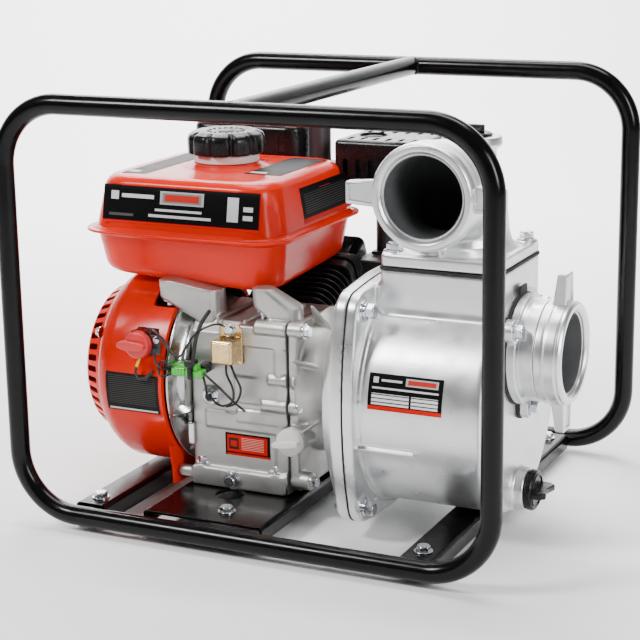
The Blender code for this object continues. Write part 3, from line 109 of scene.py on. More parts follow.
def two_tone(made, factor, color, tone):
    """The colour drifting a share darker and lighter."""
    darker = (*(c * (1 - tone) for c in color), 1)
    return mixed(made, factor, darker, (*(min(1, c * (1 + tone)) for c in color), 1))


def surface(
    name, color, rough, metal=0.0, coat=0.0, tone=0.12, tone_scale=30.0, swing=0.08, bumps=(), specular=0.5,
):
    """A finish whose tone and roughness drift with noise. Each bump is (scale, strength, depth)."""
    made = bpy.data.materials.new(name)
    made.use_nodes = True
    nodes, links = made.node_tree.nodes, made.node_tree.links
    shader = nodes["Principled BSDF"]
    preset(shader, {
        "Metallic": metal, "Coat Weight": coat, "Coat Roughness": 0.04, "Specular IOR Level": specular,
    })
    coord = nodes.new("ShaderNodeTexCoord")
    drift = noise(made, coord, tone_scale, 7, 0.62)
    links.new(two_tone(made, drift, color, tone), shader.inputs["Base Color"])
    wear = noise(made, coord, tone_scale * 3.3, 5)
    spread = nodes.new("ShaderNodeMapRange")
    preset(spread, {
        "From Min": 0.3, "From Max": 0.7, "To Min": max(0.02, rough - swing),
        "To Max": min(1.0, rough + swing),
    })
    links.new(wear, spread.inputs["Value"])
    links.new(spread.outputs["Result"], shader.inputs["Roughness"])
    last = None
    for scale, strength, depth in bumps:
        bump = nodes.new("ShaderNodeBump")
        preset(bump, {"Strength": strength, "Distance": depth})
        links.new(noise(made, coord, scale, 6, 0.65), bump.inputs["Height"])
        if last:
            links.new(last.outputs["Normal"], bump.inputs["Normal"])
        last = bump
    if last:
        links.new(last.outputs["Normal"], shader.inputs["Normal"])
    made.diffuse_color = (*color, 1)
    return made


BLACK_PAINT = surface("black_paint", (0.002, 0.002, 0.0024), 0.2, specular=0.2, tone=0.3, swing=0.05,
                      bumps=((70, 0.05, 0.0006), (420, 0.03, 0.0002)))
DARK_STEEL = surface("dark_steel", (0.05, 0.05, 0.054), 0.42, 0.3, swing=0.1, bumps=((500, 0.12, 0.0002),))
RED_PAINT = surface("red_paint", (0.7, 0.013, 0.0004), 0.2, specular=0.22, tone=0.06, swing=0.05,
                    bumps=((60, 0.05, 0.0005), (360, 0.035, 0.0002)))
CAST = surface("cast_aluminium", (0.5, 0.495, 0.47), 0.44, 0.92, tone=0.2, tone_scale=22, swing=0.09,
               bumps=((160, 0.16, 0.0006), (900, 0.3, 0.0003)))
BRIGHT = surface("bright_aluminium", (0.78, 0.785, 0.79), 0.33, 0.92, tone=0.06, tone_scale=14, swing=0.07,
                 bumps=((90, 0.06, 0.0006), (850, 0.16, 0.00025)))
BLACK_CASTING = surface(
    "black_casting", (0.016, 0.016, 0.017), 0.46, 0.1, tone=0.3, bumps=((600, 0.2, 0.0003),),
)
BLACK_PLASTIC = surface("black_plastic", (0.006, 0.006, 0.0065), 0.28, specular=0.3, tone=0.2, swing=0.08,
                        bumps=((700, 0.08, 0.0002),))
GREY_PLASTIC = surface("grey_plastic", (0.56, 0.56, 0.55), 0.42, tone=0.07, bumps=((500, 0.06, 0.0002),))
WHITE_PLASTIC = surface("white_plastic", (0.8, 0.78, 0.75), 0.36, tone=0.05, bumps=((400, 0.04, 0.0002),))
RED_PLASTIC = surface("red_plastic", (0.6, 0.022, 0.024), 0.36, tone=0.1, bumps=((700, 0.05, 0.0002),))
GREEN_PLASTIC = surface("green_plastic", (0.05, 0.5, 0.03), 0.26, coat=0.4, tone=0.18, tone_scale=90,
                        bumps=((500, 0.04, 0.0002),))
YELLOW_PLASTIC = surface("yellow_insulation", (0.8, 0.5, 0.02), 0.35, tone=0.08, bumps=((500, 0.04, 0.0002),))
RUBBER = surface("rubber", (0.015, 0.015, 0.015), 0.72, tone=0.25, bumps=((700, 0.2, 0.0003),))
WIRE = surface("wire_insulation", (0.012, 0.012, 0.012), 0.34, tone=0.2, bumps=((300, 0.05, 0.0002),))
ZINC = surface("zinc", (0.66, 0.68, 0.72), 0.22, 1.0, tone=0.12, tone_scale=60, swing=0.08,
               bumps=((240, 0.07, 0.0003),))
SHROUD_ZINC = surface("shroud_zinc", (0.56, 0.57, 0.56), 0.2, 1.0, tone=0.2, tone_scale=18, swing=0.08,
                      bumps=((28, 0.22, 0.002), (240, 0.05, 0.0003)))
STEEL = surface("steel", (0.45, 0.45, 0.46), 0.28, 1.0, tone=0.15, bumps=((300, 0.08, 0.0002),))
CAST_IRON = surface("cast_iron", (0.1, 0.1, 0.1), 0.6, 0.6, tone=0.25, bumps=((500, 0.4, 0.0004),))
GOLD_ZINC = surface("gold_zinc", (0.72, 0.5, 0.24), 0.24, 1.0, tone=0.3, tone_scale=120, swing=0.08,
                    bumps=((240, 0.05, 0.0003),))
GASKET = surface("gasket_paper", (0.09, 0.088, 0.082), 0.85, tone=0.2, bumps=((900, 0.3, 0.0002),))
FOAM = surface("foam", (0.08, 0.08, 0.08), 0.95, tone=0.3, bumps=((1200, 0.8, 0.0008),))
# Painted shade: a darker grey laid inside the bores, standing in for the shade deep in them.
BORE_SHADE = surface("bore_painted_shade", (0.15, 0.155, 0.16), 0.45, 0.45, tone=0.15, bumps=((400, 0.15, 0.0003),))

SLOT_FINISH = {
    "black_paint": BLACK_PAINT, "dark_steel": DARK_STEEL, "red_paint": RED_PAINT, "cast_aluminium": CAST,
    "bright_aluminium": BRIGHT, "black_casting": BLACK_CASTING, "black_plastic": BLACK_PLASTIC,
    "grey_plastic": GREY_PLASTIC, "white_plastic": WHITE_PLASTIC, "red_plastic": RED_PLASTIC,
    "green_plastic": GREEN_PLASTIC, "rubber": RUBBER, "zinc": ZINC, "steel": STEEL, "cast_iron": CAST_IRON,
    "gold_zinc": GOLD_ZINC, "foam": FOAM,
}


def decal(name, ground, patches, lines=()):
    """A printed label. A patch is (u0, v0, u1, v1, colour), and lines are (u0, v0, u1, v1, rows, colour)."""
    made = bpy.data.materials.new(name)
    made.use_nodes = True
    nodes, links = made.node_tree.nodes, made.node_tree.links
    shader = nodes["Principled BSDF"]
    preset(shader, {"Roughness": 0.45, "Specular IOR Level": 0.06})
    coord = nodes.new("ShaderNodeTexCoord")
    split = nodes.new("ShaderNodeSeparateXYZ")
    links.new(coord.outputs["UV"], split.inputs["Vector"])

    def math_node(kind, a, b):
        node = nodes.new("ShaderNodeMath")
        node.operation = kind
        for socket, value in zip(node.inputs, (a, b)):
            if isinstance(value, (int, float)):
                socket.default_value = value
            else:
                links.new(value, socket)
        return node.outputs[0]

    u, v = split.outputs["X"], split.outputs["Y"]

    def inside(u0, v0, u1, v1):
        across = math_node("MULTIPLY", math_node("GREATER_THAN", u, u0), math_node("LESS_THAN", u, u1))
        up = math_node("MULTIPLY", math_node("GREATER_THAN", v, v0), math_node("LESS_THAN", v, v1))
        return math_node("MULTIPLY", across, up)

    color = two_tone(made, noise(made, coord, 90), ground, 0.15)
    for u0, v0, u1, v1, tint in patches:
        color = mixed(made, inside(u0, v0, u1, v1), color, (*tint, 1))
    for u0, v0, u1, v1, rows, tint in lines:
        row = math_node("MULTIPLY", v, rows / (v1 - v0))
        stripe = math_node("LESS_THAN", math_node("FRACT", row, 0), 0.3)
        mask = math_node("MULTIPLY", inside(u0, v0, u1, v1), stripe)
        color = mixed(made, mask, color, (*tint, 1))
    links.new(color, shader.inputs["Base Color"])
    return made


INK, STRIPE, PALE, SILVER = (0.004, 0.004, 0.0045), (0.58, 0.01, 0.004), (0.62, 0.62, 0.62), (0.4, 0.41, 0.42)
DIM = (0.07, 0.07, 0.07)

# Modelling helpers


def linked(name, data):
    obj = bpy.data.objects.new(name, data)
    bpy.context.scene.collection.objects.link(obj)
    return obj


def modify(obj, name, kind, **settings):
    modifier = obj.modifiers.new(name, kind)
    for key, value in settings.items():
        setattr(modifier, key, value)


def facing(place, way):
    """The turn and shift that lay the local Z axis along a direction from a place."""
    return Matrix.Translation(place) @ Vector(way).to_track_quat("Z", "Y").to_matrix().to_4x4()


def add(name, mesh, finish, angle=50):
    obj = linked(name, mesh)
    if finish:
        mesh.materials.clear()
        mesh.materials.append(finish)
    mesh.shade_smooth()
    mesh.set_sharp_from_angle(angle=math.radians(angle))
    return obj


def baked(obj, angle=50):
    """The object with its modifiers applied and its place moved into its mesh."""
    bpy.context.view_layer.update()
    graph = bpy.context.evaluated_depsgraph_get()
    mesh = bpy.data.meshes.new_from_object(obj.evaluated_get(graph))
    mesh.transform(obj.matrix_world)
    name, finish = obj.name, obj.active_material
    bpy.data.objects.remove(obj, do_unlink=True)
    work = bmesh.new()
    work.from_mesh(mesh)
    bmesh.ops.remove_doubles(work, verts=work.verts, dist=0.000002)
    bmesh.ops.recalc_face_normals(work, faces=work.faces)
    work.to_mesh(mesh)
    work.free()
    return add(name, mesh, finish, angle)


def combine(target, others, operation):
    for other in others:
        bpy.context.view_layer.update()
        modify(target, operation.lower(), "BOOLEAN", operation=operation, solver="EXACT", object=other)
        target = baked(target)
        bpy.data.objects.remove(other, do_unlink=True)
    return target


def fuse(target, *others):
    return combine(target, others, "UNION")


def cut(target, *others):
    return combine(target, others, "DIFFERENCE")


def from_bmesh(name, work, finish, angle=50):
    mesh = bpy.data.meshes.new(name)
    bmesh.ops.recalc_face_normals(work, faces=work.faces)
    work.to_mesh(mesh)
    work.free()
    return add(name, mesh, finish, angle)


def bevel(work, edges, width, segments=3, clamp=False):
    bmesh.ops.bevel(
        work, geom=list(edges), offset=width, segments=segments, affect="EDGES", profile=0.5,
        clamp_overlap=clamp,
    )


def soften(obj, width, segments=3, angle=40, clamp=True, clean=False):
    """Rounds the sharp edges of a mesh, after clearing the edges that lie in flat faces if clean is set."""
    work = bmesh.new()
    work.from_mesh(obj.data)
    if clean:
        bmesh.ops.dissolve_limit(work, angle_limit=0.01, verts=work.verts, edges=work.edges)
    sharp = [e for e in work.edges if len(e.link_faces) == 2 and e.calc_face_angle(0) > math.radians(angle)]
    bevel(work, sharp, width, segments, clamp)
    work.to_mesh(obj.data)
    work.free()
    obj.data.shade_smooth()
    obj.data.set_sharp_from_angle(angle=math.radians(50))
    return obj


def box(name, low, high, finish=None, edge=0.0008, segments=3):
    work = bmesh.new()
    low, high = Vector(low), Vector(high)
    place = Matrix.Translation((low + high) / 2) @ Matrix.Diagonal((*(high - low), 1))
    bmesh.ops.create_cube(work, size=1, matrix=place)
    if edge:
        bevel(work, work.edges, edge, segments)
    return from_bmesh(name, work, finish)


def rod(name, start, end, radius, finish=None, sides=48, end_radius=None, edge=0.0):
    start, end = Vector(start), Vector(end)
    way = end - start
    place = facing((start + end) / 2, way)
    work = bmesh.new()
    bmesh.ops.create_cone(
        work, cap_ends=True, segments=sides, radius1=radius,
        radius2=radius if end_radius is None else end_radius, depth=way.length, matrix=place,
    )
    if edge:
        bevel(work, [e for e in work.edges if e.calc_face_angle(0) > math.radians(45)], edge)
    return from_bmesh(name, work, finish)


def turned(name, profile, origin, axis, finish=None, steps=96, bump=None, soft=0.0, count=4):
    """A profile of (radius, height), turned about an axis. bump(angle, radius, height) scales the radius."""
    if soft:
        profile = rounded(profile, soft, count)
    turn = facing(origin, axis)
    closed = profile[0] == profile[-1]
    points = profile[:-1] if closed else profile
    work = bmesh.new()
    rings = []
    for r, h in points:
        if r == 0:
            rings.append([work.verts.new(turn @ Vector((0, 0, h)))] * steps)
            continue
        ring = []
        for i in range(steps):
            angle = 2 * math.pi * i / steps
            reach = r * (bump(angle, r, h) if bump else 1)
            ring.append(work.verts.new(turn @ Vector((reach * math.cos(angle), reach * math.sin(angle), h))))
        rings.append(ring)
    pairs = list(zip(rings, rings[1:] + rings[:1])) if closed else list(zip(rings, rings[1:]))
    for lower, upper in pairs:
        for i in range(steps):
            j = (i + 1) % steps
            corners = []
            for vert in (lower[i], lower[j], upper[j], upper[i]):
                if vert not in corners:
                    corners.append(vert)
            if len(corners) > 2:
                work.faces.new(corners)
    return from_bmesh(name, work, finish, 40)


def rounded(profile, radius, count=4):
    """A profile with the corners between its straight runs rounded."""
    closed = profile[0] == profile[-1]
    points = [Vector(p) for p in (profile[:-1] if closed else profile)]
    made = []
    for i, point in enumerate(points):
        if not closed and i in (0, len(points) - 1):
            made.append(tuple(point))
            continue
        before, after = points[i - 1], points[(i + 1) % len(points)]
        a, b = before - point, after - point
        reach = min(radius, a.length * 0.45, b.length * 0.45)
        start, end = point + a.normalized() * reach, point + b.normalized() * reach
        for k in range(count + 1):
            t = k / count
            made.append(tuple((1 - t) ** 2 * start + 2 * t * (1 - t) * point + t**2 * end))
    return [*made, made[0]] if closed else made


def puck(radius, start, end):
    """The profile of a flat disc."""
    return [(0, start), (radius, start), (radius, end), (0, end)]


def band(inner, outer, low, high):
    """The closed profile of a plain ring."""
    return [(inner, low), (outer, low), (outer, high), (inner, high), (inner, low)]


def mirrored(half):
    """An outline from its lower half, which runs from left to right."""
    return half + [(a, -b) for a, b in reversed(half)]


AXIS_FRAMES = {
    "x": Matrix(((0, 0, 1, 0), (1, 0, 0, 0), (0, 1, 0, 0), (0, 0, 0, 1))),
    "y": Matrix(((1, 0, 0, 0), (0, 0, -1, 0), (0, 1, 0, 0), (0, 0, 0, 1))), "z": Matrix.Identity(4),
}


def slab(name, outline, axis, low, high, finish=None, edge=0.0008, holes=(), segments=3):
    """A flat outline made thick from low to high along an axis, with its edges rounded."""
    curve = bpy.data.curves.new(name, "CURVE")
    curve.dimensions = "2D"
    curve.fill_mode = "BOTH"
    curve.extrude = (high - low) / 2
    for ring in (outline, *holes):
        spline = curve.splines.new("POLY")
        spline.points.add(len(ring) - 1)
        for point, (a, b) in zip(spline.points, ring):
            point.co = (a, b, 0, 1)
        spline.use_cyclic_u = True
    obj = linked(name, curve)
    if finish:
        curve.materials.append(finish)
    obj.matrix_world = AXIS_FRAMES[axis] @ Matrix.Translation(
        (0, 0, (low + high) / 2 * (-1 if axis == "y" else 1))
    )
    obj = baked(obj)
    return soften(obj, edge, segments, 50, clamp=False, clean=True) if edge else obj


def tube(name, points, radius, finish=None, cyclic=False, sides=32):
    """A round bar along a smooth line of points, with a frame carried along it, and closed ends."""
    points = [Vector(p) for p in points]
    count = len(points)
    normal = None
    work = bmesh.new()
    rings = []
    for i, point in enumerate(points):
        before = points[i - 1] if i or cyclic else points[0]
        after = points[(i + 1) % count] if i < count - 1 or cyclic else points[-1]
        way = (after - before).normalized()
        if normal is None:
            normal = way.orthogonal().normalized()
        normal = (normal - way * normal.dot(way)).normalized()
        side = way.cross(normal)
        size = radius(i / (count - 1)) if callable(radius) else radius
        turns = (2 * math.pi * k / sides for k in range(sides))
        rings.append(
            [work.verts.new(point + (normal * math.cos(t) + side * math.sin(t)) * size) for t in turns],
        )
    last = list(zip(rings, rings[1:]))
    if cyclic:
        first = rings[0]
        shift = min(range(sides), key=lambda k: (first[k].co - rings[-1][0].co).length)
        last.append((rings[-1], first[shift:] + first[:shift]))
    for lower, upper in last:
        for k in range(sides):
            m = (k + 1) % sides
            work.faces.new((lower[k], lower[m], upper[m], upper[k]))
    if not cyclic:
        work.faces.new(rings[0])
        work.faces.new(rings[-1])
    return from_bmesh(name, work, finish)


def arc(a, b, radius, start, stop, count):
    angles = (math.radians(start + (stop - start) * i / (count - 1)) for i in range(count))
    return [(a + radius * math.cos(t), b + radius * math.sin(t)) for t in angles]


def round_rect(low_a, low_b, high_a, high_b, radius, count=8):
    corners = (
        (high_a - radius, low_b + radius, -90), (high_a - radius, high_b - radius, 0),
        (low_a + radius, high_b - radius, 90), (low_a + radius, low_b + radius, 180),
    )
    return [p for a, b, start in corners for p in arc(a, b, radius, start, start + 90, count)]


def circle(a, b, radius, count=64):
    return arc(a, b, radius, 0, 360 * (count - 1) / count, count)


def hull(name, points, finish=None):
    """The solid stretched over some points."""
    work = bmesh.new()
    for point in points:
        work.verts.new(point)
    bmesh.ops.convex_hull(work, input=work.verts)
    return from_bmesh(name, work, finish)


def loft(name, rings, finish=None):
    work = bmesh.new()
    loops = [[work.verts.new(p) for p in ring] for ring in rings]
    count = len(loops[0])
    for lower, upper in zip(loops, loops[1:]):
        for i in range(count):
            j = (i + 1) % count
            work.faces.new((lower[i], lower[j], upper[j], upper[i]))
    work.faces.new(list(reversed(loops[0])))
    work.faces.new(loops[-1])
    return from_bmesh(name, work, finish)


def smooth_line(points, steps=8):
    """A Catmull-Rom line through the points."""
    ends = [points[0], *points, points[-1]]
    line = []
    for a, b, c, d in zip(ends, ends[1:], ends[2:], ends[3:]):
        a, b, c, d = Vector(a), Vector(b), Vector(c), Vector(d)
        for i in range(steps):
            t = i / steps
            line.append(
                0.5 * (
                    2 * b + (c - a) * t + (2 * a - 5 * b + 4 * c - d) * t**2 + (3 * b - a - 3 * c + d) * t**3
                ),
            )
    return [*line, Vector(points[-1])]


def cable(name, points, radius, finish=None, steps=8, sides=16):
    """A tube that bends smoothly through a few points."""
    return tube(name, smooth_line(points, steps), radius, finish or WIRE, sides=sides)


def join(name, *objs):
    """Several meshes as one object, each keeping its finish."""
    work, finishes = bmesh.new(), []
    for obj in objs:
        start = len(work.faces)
        work.from_mesh(obj.data)
        work.faces.ensure_lookup_table()
        own = list(obj.data.materials)
        for face in work.faces[start:] if own else ():
            finish = own[min(face.material_index, len(own) - 1)]
            if finish not in finishes:
                finishes.append(finish)
            face.material_index = finishes.index(finish)
    for obj in objs:
        bpy.data.objects.remove(obj, do_unlink=True)
    mesh = bpy.data.meshes.new(name)
    work.to_mesh(mesh)
    work.free()
    for finish in finishes:
        mesh.materials.append(finish)
    return linked(name, mesh)


def refinish(obj, finish):
    """The object with one finish all over."""
    obj.data.materials.clear()
    obj.data.materials.append(finish)
    return obj


def casting(name, shapes, finish, voxel=0.0012, rounds=6, keep=0.35):
    """Shapes run together the way a casting does, with every edge and inner corner slightly rounded."""
    obj = join(name, *shapes)
    modify(obj, "voxels", "REMESH", mode="VOXEL", voxel_size=voxel)
    modify(obj, "smooth", "SMOOTH", factor=0.5, iterations=rounds)
    modify(obj, "fewer", "DECIMATE", ratio=keep)
    return refinish(baked(obj, 60), finish)


def bolt(place, axis, across=0.012, height=0.0075, washer=0.0):
    """A hexagon head with a chamfered top, on a flange or washer."""
    turn = facing(place, axis)
    inner, count = across / 2, 24
    work = bmesh.new()
    rings = []
    for level, share in ((0.0, 1.0), (height * 0.8, 1.0), (height * 0.93, 0.5), (height, 0.0)):
        ring = []
        for i in range(count):
            angle = 2 * math.pi * i / count
            flat = (angle + math.pi / 6) % (math.pi / 3) - math.pi / 6
            corner = inner / math.cos(flat)
            reach = share * corner + (1 - share) * inner * 0.93
            ring.append(
                work.verts.new(turn @ Vector((reach * math.cos(angle), reach * math.sin(angle), level))),
            )
        rings.append(ring)
    for lower, upper in zip(rings, rings[1:]):
        for i in range(count):
            work.faces.new((lower[i], lower[(i + 1) % count], upper[(i + 1) % count], upper[i]))
    work.faces.new(rings[0])
    work.faces.new(rings[-1])
    head = from_bmesh("head", work, ZINC, 30)
    if not washer:
        return [head]
    disc = turned("washer", puck(washer, -0.0002, 0.0013), place, axis, ZINC, 40, soft=0.0004)
    return [disc, head]


def put(obj, body, slot=None, *nodes):
    """The piece rides on a body and stands for some CAD nodes. The slot is not used."""
    if obj.type == "MESH" and "weighted" not in obj.modifiers:
        modify(obj, "weighted", "WEIGHTED_NORMAL", keep_sharp=True)
    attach(obj, body)
    if nodes:
        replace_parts(obj, *nodes)
    return obj


def patch(name, rows, finish):
    """A printed label laid over rows of points, with (u, v) across it."""
    mesh = bpy.data.meshes.new(name)
    high, wide = len(rows), len(rows[0])
    points = [p for row in rows for p in row]
    faces = [(j * wide + i, j * wide + i + 1, (j + 1) * wide + i + 1, (j + 1) * wide + i)
             for j in range(high - 1) for i in range(wide - 1)]
    mesh.from_pydata(points, [], faces)
    layer = mesh.uv_layers.new(name="label")
    for face in mesh.polygons:
        for index in face.loop_indices:
            vert = mesh.loops[index].vertex_index
            layer.data[index].uv = ((vert % wide) / (wide - 1), (vert // wide) / (high - 1))
    obj = add(name, mesh, finish)
    modify(obj, "film", "SOLIDIFY", thickness=0.00018, offset=0)
    return obj


def along(distance, sideways=0.0, x=CYL_X):
    across = Vector((0, -math.sin(CYL_TILT), math.cos(CYL_TILT)))
    point = SHAFT + CYL_AXIS * distance + across * sideways
    return Vector((x, point.y, point.z))


# Frame: loops, crossbar, channels, engine plate and bolts

LEFT, RIGHT = FRAME_X - FRAME_HALF, FRAME_X + FRAME_HALF
LOOP = round_rect(LEFT, RAIL_Z, RIGHT, TOP_Z, CORNER_R, count=22)
for side, y in (("near", -LOOP_Y), ("far", LOOP_Y)):
    loop = tube(
        f"frame_tube_{side}", [(x, y, z) for x, z in LOOP], TUBE_R - 0.0006, BLACK_PAINT, cyclic=True,
        sides=48,
    )
    put(loop, "chassis", "black_paint", f"frame_loop_{side}")

bar = [rod("bar", (FRAME_X, -LOOP_Y, TOP_Z), (FRAME_X, LOOP_Y, TOP_Z), TUBE_R * 0.985, BLACK_PAINT, sides=64)]
for sign in (-1, 1):
    for half in (-1, 1):
        bead = []
        for k in range(17):
            t = math.radians(-56 + 112 * k / 16)
            reach = TUBE_R * math.cos(t)
            bead.append((FRAME_X + half * reach, sign * (LOOP_Y - reach), TOP_Z + TUBE_R * math.sin(t)))
        bar.append(tube("bead", bead, lambda t: 0.0013 + 0.0003 * math.sin(60 * t), BLACK_PAINT, sides=12))
put(join("top_bar", *bar), "chassis", "black_paint", "top_crossbar")

INNER_Y = LOOP_Y - TUBE_R - 0.0003
CHANNELS = {"left": (-0.1993, -0.1653, 0.0255), "right": (0.1497, 0.1857, 0.022)}
FOOT_Y = 0.1835


def folded(name, x0, x1, top, low, wall, holes=()):
    """A channel folded from plate, open below, with round bends."""
    bend = 0.0045
    outside = [
        (x0, low), *arc(x0 + bend, top - bend, bend, 180, 90, 7), *arc(x1 - bend, top - bend, bend, 90, 0, 7),
        (x1, low),
    ]
    inner = bend - wall
    inside = [(x1 - wall, low), *arc(x1 - bend, top - bend, max(inner, 0.0008), 0, 90, 7),
              *arc(x0 + bend, top - bend, max(inner, 0.0008), 90, 180, 7), (x0 + wall, low)]
    made = slab(name, outside + inside, "y", -INNER_Y, INNER_Y, BLACK_PAINT, edge=0.0003, segments=1)
    return cut(made, *holes) if holes else made


for side, (x0, x1, top) in CHANNELS.items():
    parts = [folded("channel", x0, x1, top, 0.0065, 0.0028)]
    for y in (-FOOT_Y, FOOT_Y):
        parts += bolt(((x0 + x1) / 2, y, top), UPWARD, 0.012, 0.0062, 0.009)
    put(join(f"channel_{side}", *parts), "chassis", "black_paint", f"cross_channel_{side}")
hole = rod("drain_hole", (-0.063, -0.13, 0), (-0.063, -0.13, 0.05), 0.015, sides=64)
parts = [folded("plate", -0.1213, 0.0097, FLOOR_TOP, 0.012, 0.003, (hole,))]
for x in (-0.0425, -0.09):
    for y in (-0.176, 0.17):
        if (x, y) != (-0.09, -0.176):
            parts += bolt((x, y, FLOOR_TOP), UPWARD, 0.012, 0.0058, 0.0088)
put(join("plate_under_engine", *parts), "chassis", "black_paint", "engine_plate")

# Crankcase

CASE_PROFILE = [
    (-0.112, FLOOR_TOP + 0.002), (0.056, FLOOR_TOP + 0.002), (0.056, 0.0495), (0.046, 0.0495), (0.046, 0.096),
    (0.0352, 0.1189), (-0.0028, 0.2005), (-0.1, 0.2005), (NEAR_WALL, 0.189), (NEAR_WALL, 0.0495),
]
ARM_TIPS, ARM_Y, ARM_LOW, BOSS_Y = (-0.142, -0.036), -0.0995, 0.2165, -0.1085


def arm(tip_x, tip_low, root_x, root_low, root_top):
    """A tank arm: a boat-shaped lug with a round tip, whose root sinks into the crankcase."""
    points = []
    for z, radius in ((0.2377, 0.0112), (tip_low + 0.003, 0.0104), (tip_low, 0.008)):
        for k in range(20):
            t = 2 * math.pi * k / 20
            points.append((tip_x + radius * math.cos(t), ARM_Y + radius * math.sin(t), z))
    for k in range(9):
        t = math.pi * (k / 8 - 0.5)
        reach, back = 0.012 * math.cos(t), 0.016 * math.sin(t)
        points.append((root_x + reach - 0.012, -0.09 + back, root_top))
        points.append((root_x + reach - 0.012, -0.089 + back, root_low))
    return hull("arm", points)


shapes = [
    slab("wall", CASE_PROFILE, "x", CASE_X0, CASE_X1, edge=0.003),
    box("ledge", (CASE_X0, -0.118, FLOOR_TOP + 0.0005), (-0.0075, 0.056, 0.0485), edge=0.002),
    arm(ARM_TIPS[0], ARM_LOW, -0.086, 0.193, 0.23), arm(ARM_TIPS[1], ARM_LOW, 0.001, 0.195, 0.218),
    rod("pad", (-0.106, SHAFT_Y, SHAFT_Z), (-0.1205, SHAFT_Y, SHAFT_Z), 0.024),
    box("upper_plane", (-0.06, -0.1138, 0.179), (CASE_X1, -0.1, 0.2), edge=0.0012),
    box("middle_plane", (-0.064, -0.1132, 0.12), (CASE_X1, -0.1, 0.147)),
    box("lower_plane", (-0.098, -0.1134, 0.0905), (-0.009, -0.1, 0.108)),
    box("lower_step", (-0.062, -0.1142, 0.1), (CASE_X1, -0.1, 0.112)),
    rod("corner_pillar", (CASE_X1 - 0.009, -0.104, 0.049), (CASE_X1 - 0.009, -0.104, 0.196), 0.01),
    rod("dowel", (-0.129, -0.112, 0.04), (-0.11, -0.112, 0.04), 0.006),
    box("grommet_seat", (-0.0995, -0.1145, 0.1145), (-0.0805, -0.1, 0.1335), edge=0.004),
    rod("drain_boss", (-0.067, -0.1185, 0.0385), (-0.067, -0.11, 0.0385), 0.0105),
]
for z, x0, radius in (
    (0.1985, -0.04, 0.0082), (0.1464, -0.026, 0.007), (0.1195, -0.034, 0.008), (0.044, -0.026, 0.009),
):
    shapes.append(rod("boss", (x0, BOSS_Y, z), (CASE_X1, BOSS_Y, z), radius))
for x in (-0.104, -0.019):
    shapes.append(rod("bolt_pad", (x, -0.108, 0.046), (x, -0.108, 0.0505), 0.0095))
for x in (-0.085, -0.055, -0.03):
    shapes.append(box("rib", (x - 0.0015, -0.106, 0.198), (x + 0.0015, -0.02, 0.2045), edge=0.0006))
case = casting("case", shapes, CAST, 0.00115, 5, 0.4)
parts = [case]
for x, y in ((-0.104, -0.108), (-0.019, -0.108), (-0.099, 0.048), (-0.019, 0.048)):
    parts += bolt((x, y, 0.05), UPWARD, 0.012, 0.0075, 0.0088)
for x in ARM_TIPS:
    parts += bolt((x, ARM_Y, ARM_LOW), DOWNWARD, 0.011, 0.007, 0.0082)
    parts.append(rod(
        "stud", (x, ARM_Y, ARM_LOW - 0.004), (x, ARM_Y, ARM_LOW - 0.0125), 0.0032, ZINC, sides=32,
        edge=0.0006,
    ))
put(join("crankcase_body", *parts), "chassis", "cast_aluminium", "crankcase")
seal_line = [
    (-0.1153, 0.03), (0.0568, 0.03), (0.0568, 0.05), (0.0468, 0.051), (0.0468, 0.0965), (0.036, 0.1195),
    (-0.0022, 0.2013), (-0.1, 0.2078), (-0.1125, 0.205), (-0.114, 0.19), (-0.1124, 0.156), (-0.1142, 0.15),
    (-0.1142, 0.143), (-0.1124, 0.137), (-0.1153, 0.127), (-0.1153, 0.112), (-0.1124, 0.104),
    (-0.1124, 0.056), (-0.116, 0.052),
]
put(slab(
    "case_gasket", seal_line, "x", CASE_X1 - 0.0002, CASE_X1 + 0.0005, GASKET, edge=0,
), "chassis", "rubber")

COVER_PROFILE = [
    (-0.106, 0.032), (0.04, 0.032), (0.046, 0.045), (0.046, 0.096), (0.0352, 0.1189), (-0.0028, 0.2005),
    (-0.1, 0.2055), (-0.112, 0.194), (-0.112, 0.045),
]
COVER_BOLTS = [
    (-0.106, 0.1985, 0.0115, 0.0082), (-0.107, 0.1195, 0.0045, 0.008), (-0.104, 0.0435, 0.0165, 0.0092),
    (0.034, 0.05, 0.016, 0.0085), (0.034, 0.102, 0.016, 0.0085), (-0.016, 0.192, 0.011, 0.0085),
]
shapes = [
    slab("plate", COVER_PROFILE, "x", CASE_X1 + 0.0008, CASE_X1 + 0.011, edge=0.002),
    turned("dome", [(0, 0.03), (0.06, 0.03), (0.07, 0.018), (0.0755, 0.003), (0, 0.003)],
           *PUMP_LINE, soft=0.006),
    rod("filler", (0.002, -0.119, 0.089), (0.002, -0.09, 0.089), 0.0138),
    rod("second_boss", (0.0, BOSS_Y, 0.1464), (0.0035, BOSS_Y, 0.1464), 0.007),
]
for y, z, head_x, radius in COVER_BOLTS:
    shapes.append(rod("pillar", (CASE_X1 + 0.0008, y, z), (head_x, y, z), radius))
for angle in (25, 65, 115, 155, 205, 335):
    t = math.radians(angle)
    way = Vector((0, math.cos(t), math.sin(t)))
    rib = loft("rib", [[SHAFT + Vector((x, 0, 0)) + way * r + way.cross(Vector(RIGHTWARD)) * s
                        for r, x in ((0.06, 0.0275), (0.093, 0.0085), (0.093, 0.005), (0.06, 0.005))]
                       for s in (-0.0016, 0.0016)])
    shapes.append(rib)
cover = casting("cover", shapes, CAST, 0.00115, 5, 0.4)
parts = [cover]
for y, z, head_x, radius in COVER_BOLTS:
    parts += bolt((head_x, y, z), RIGHTWARD, 0.01, 0.0062, 0.0078)
put(join("side_cover", *parts), "chassis", "cast_aluminium", "crankcase_side_cover")

# Fan side

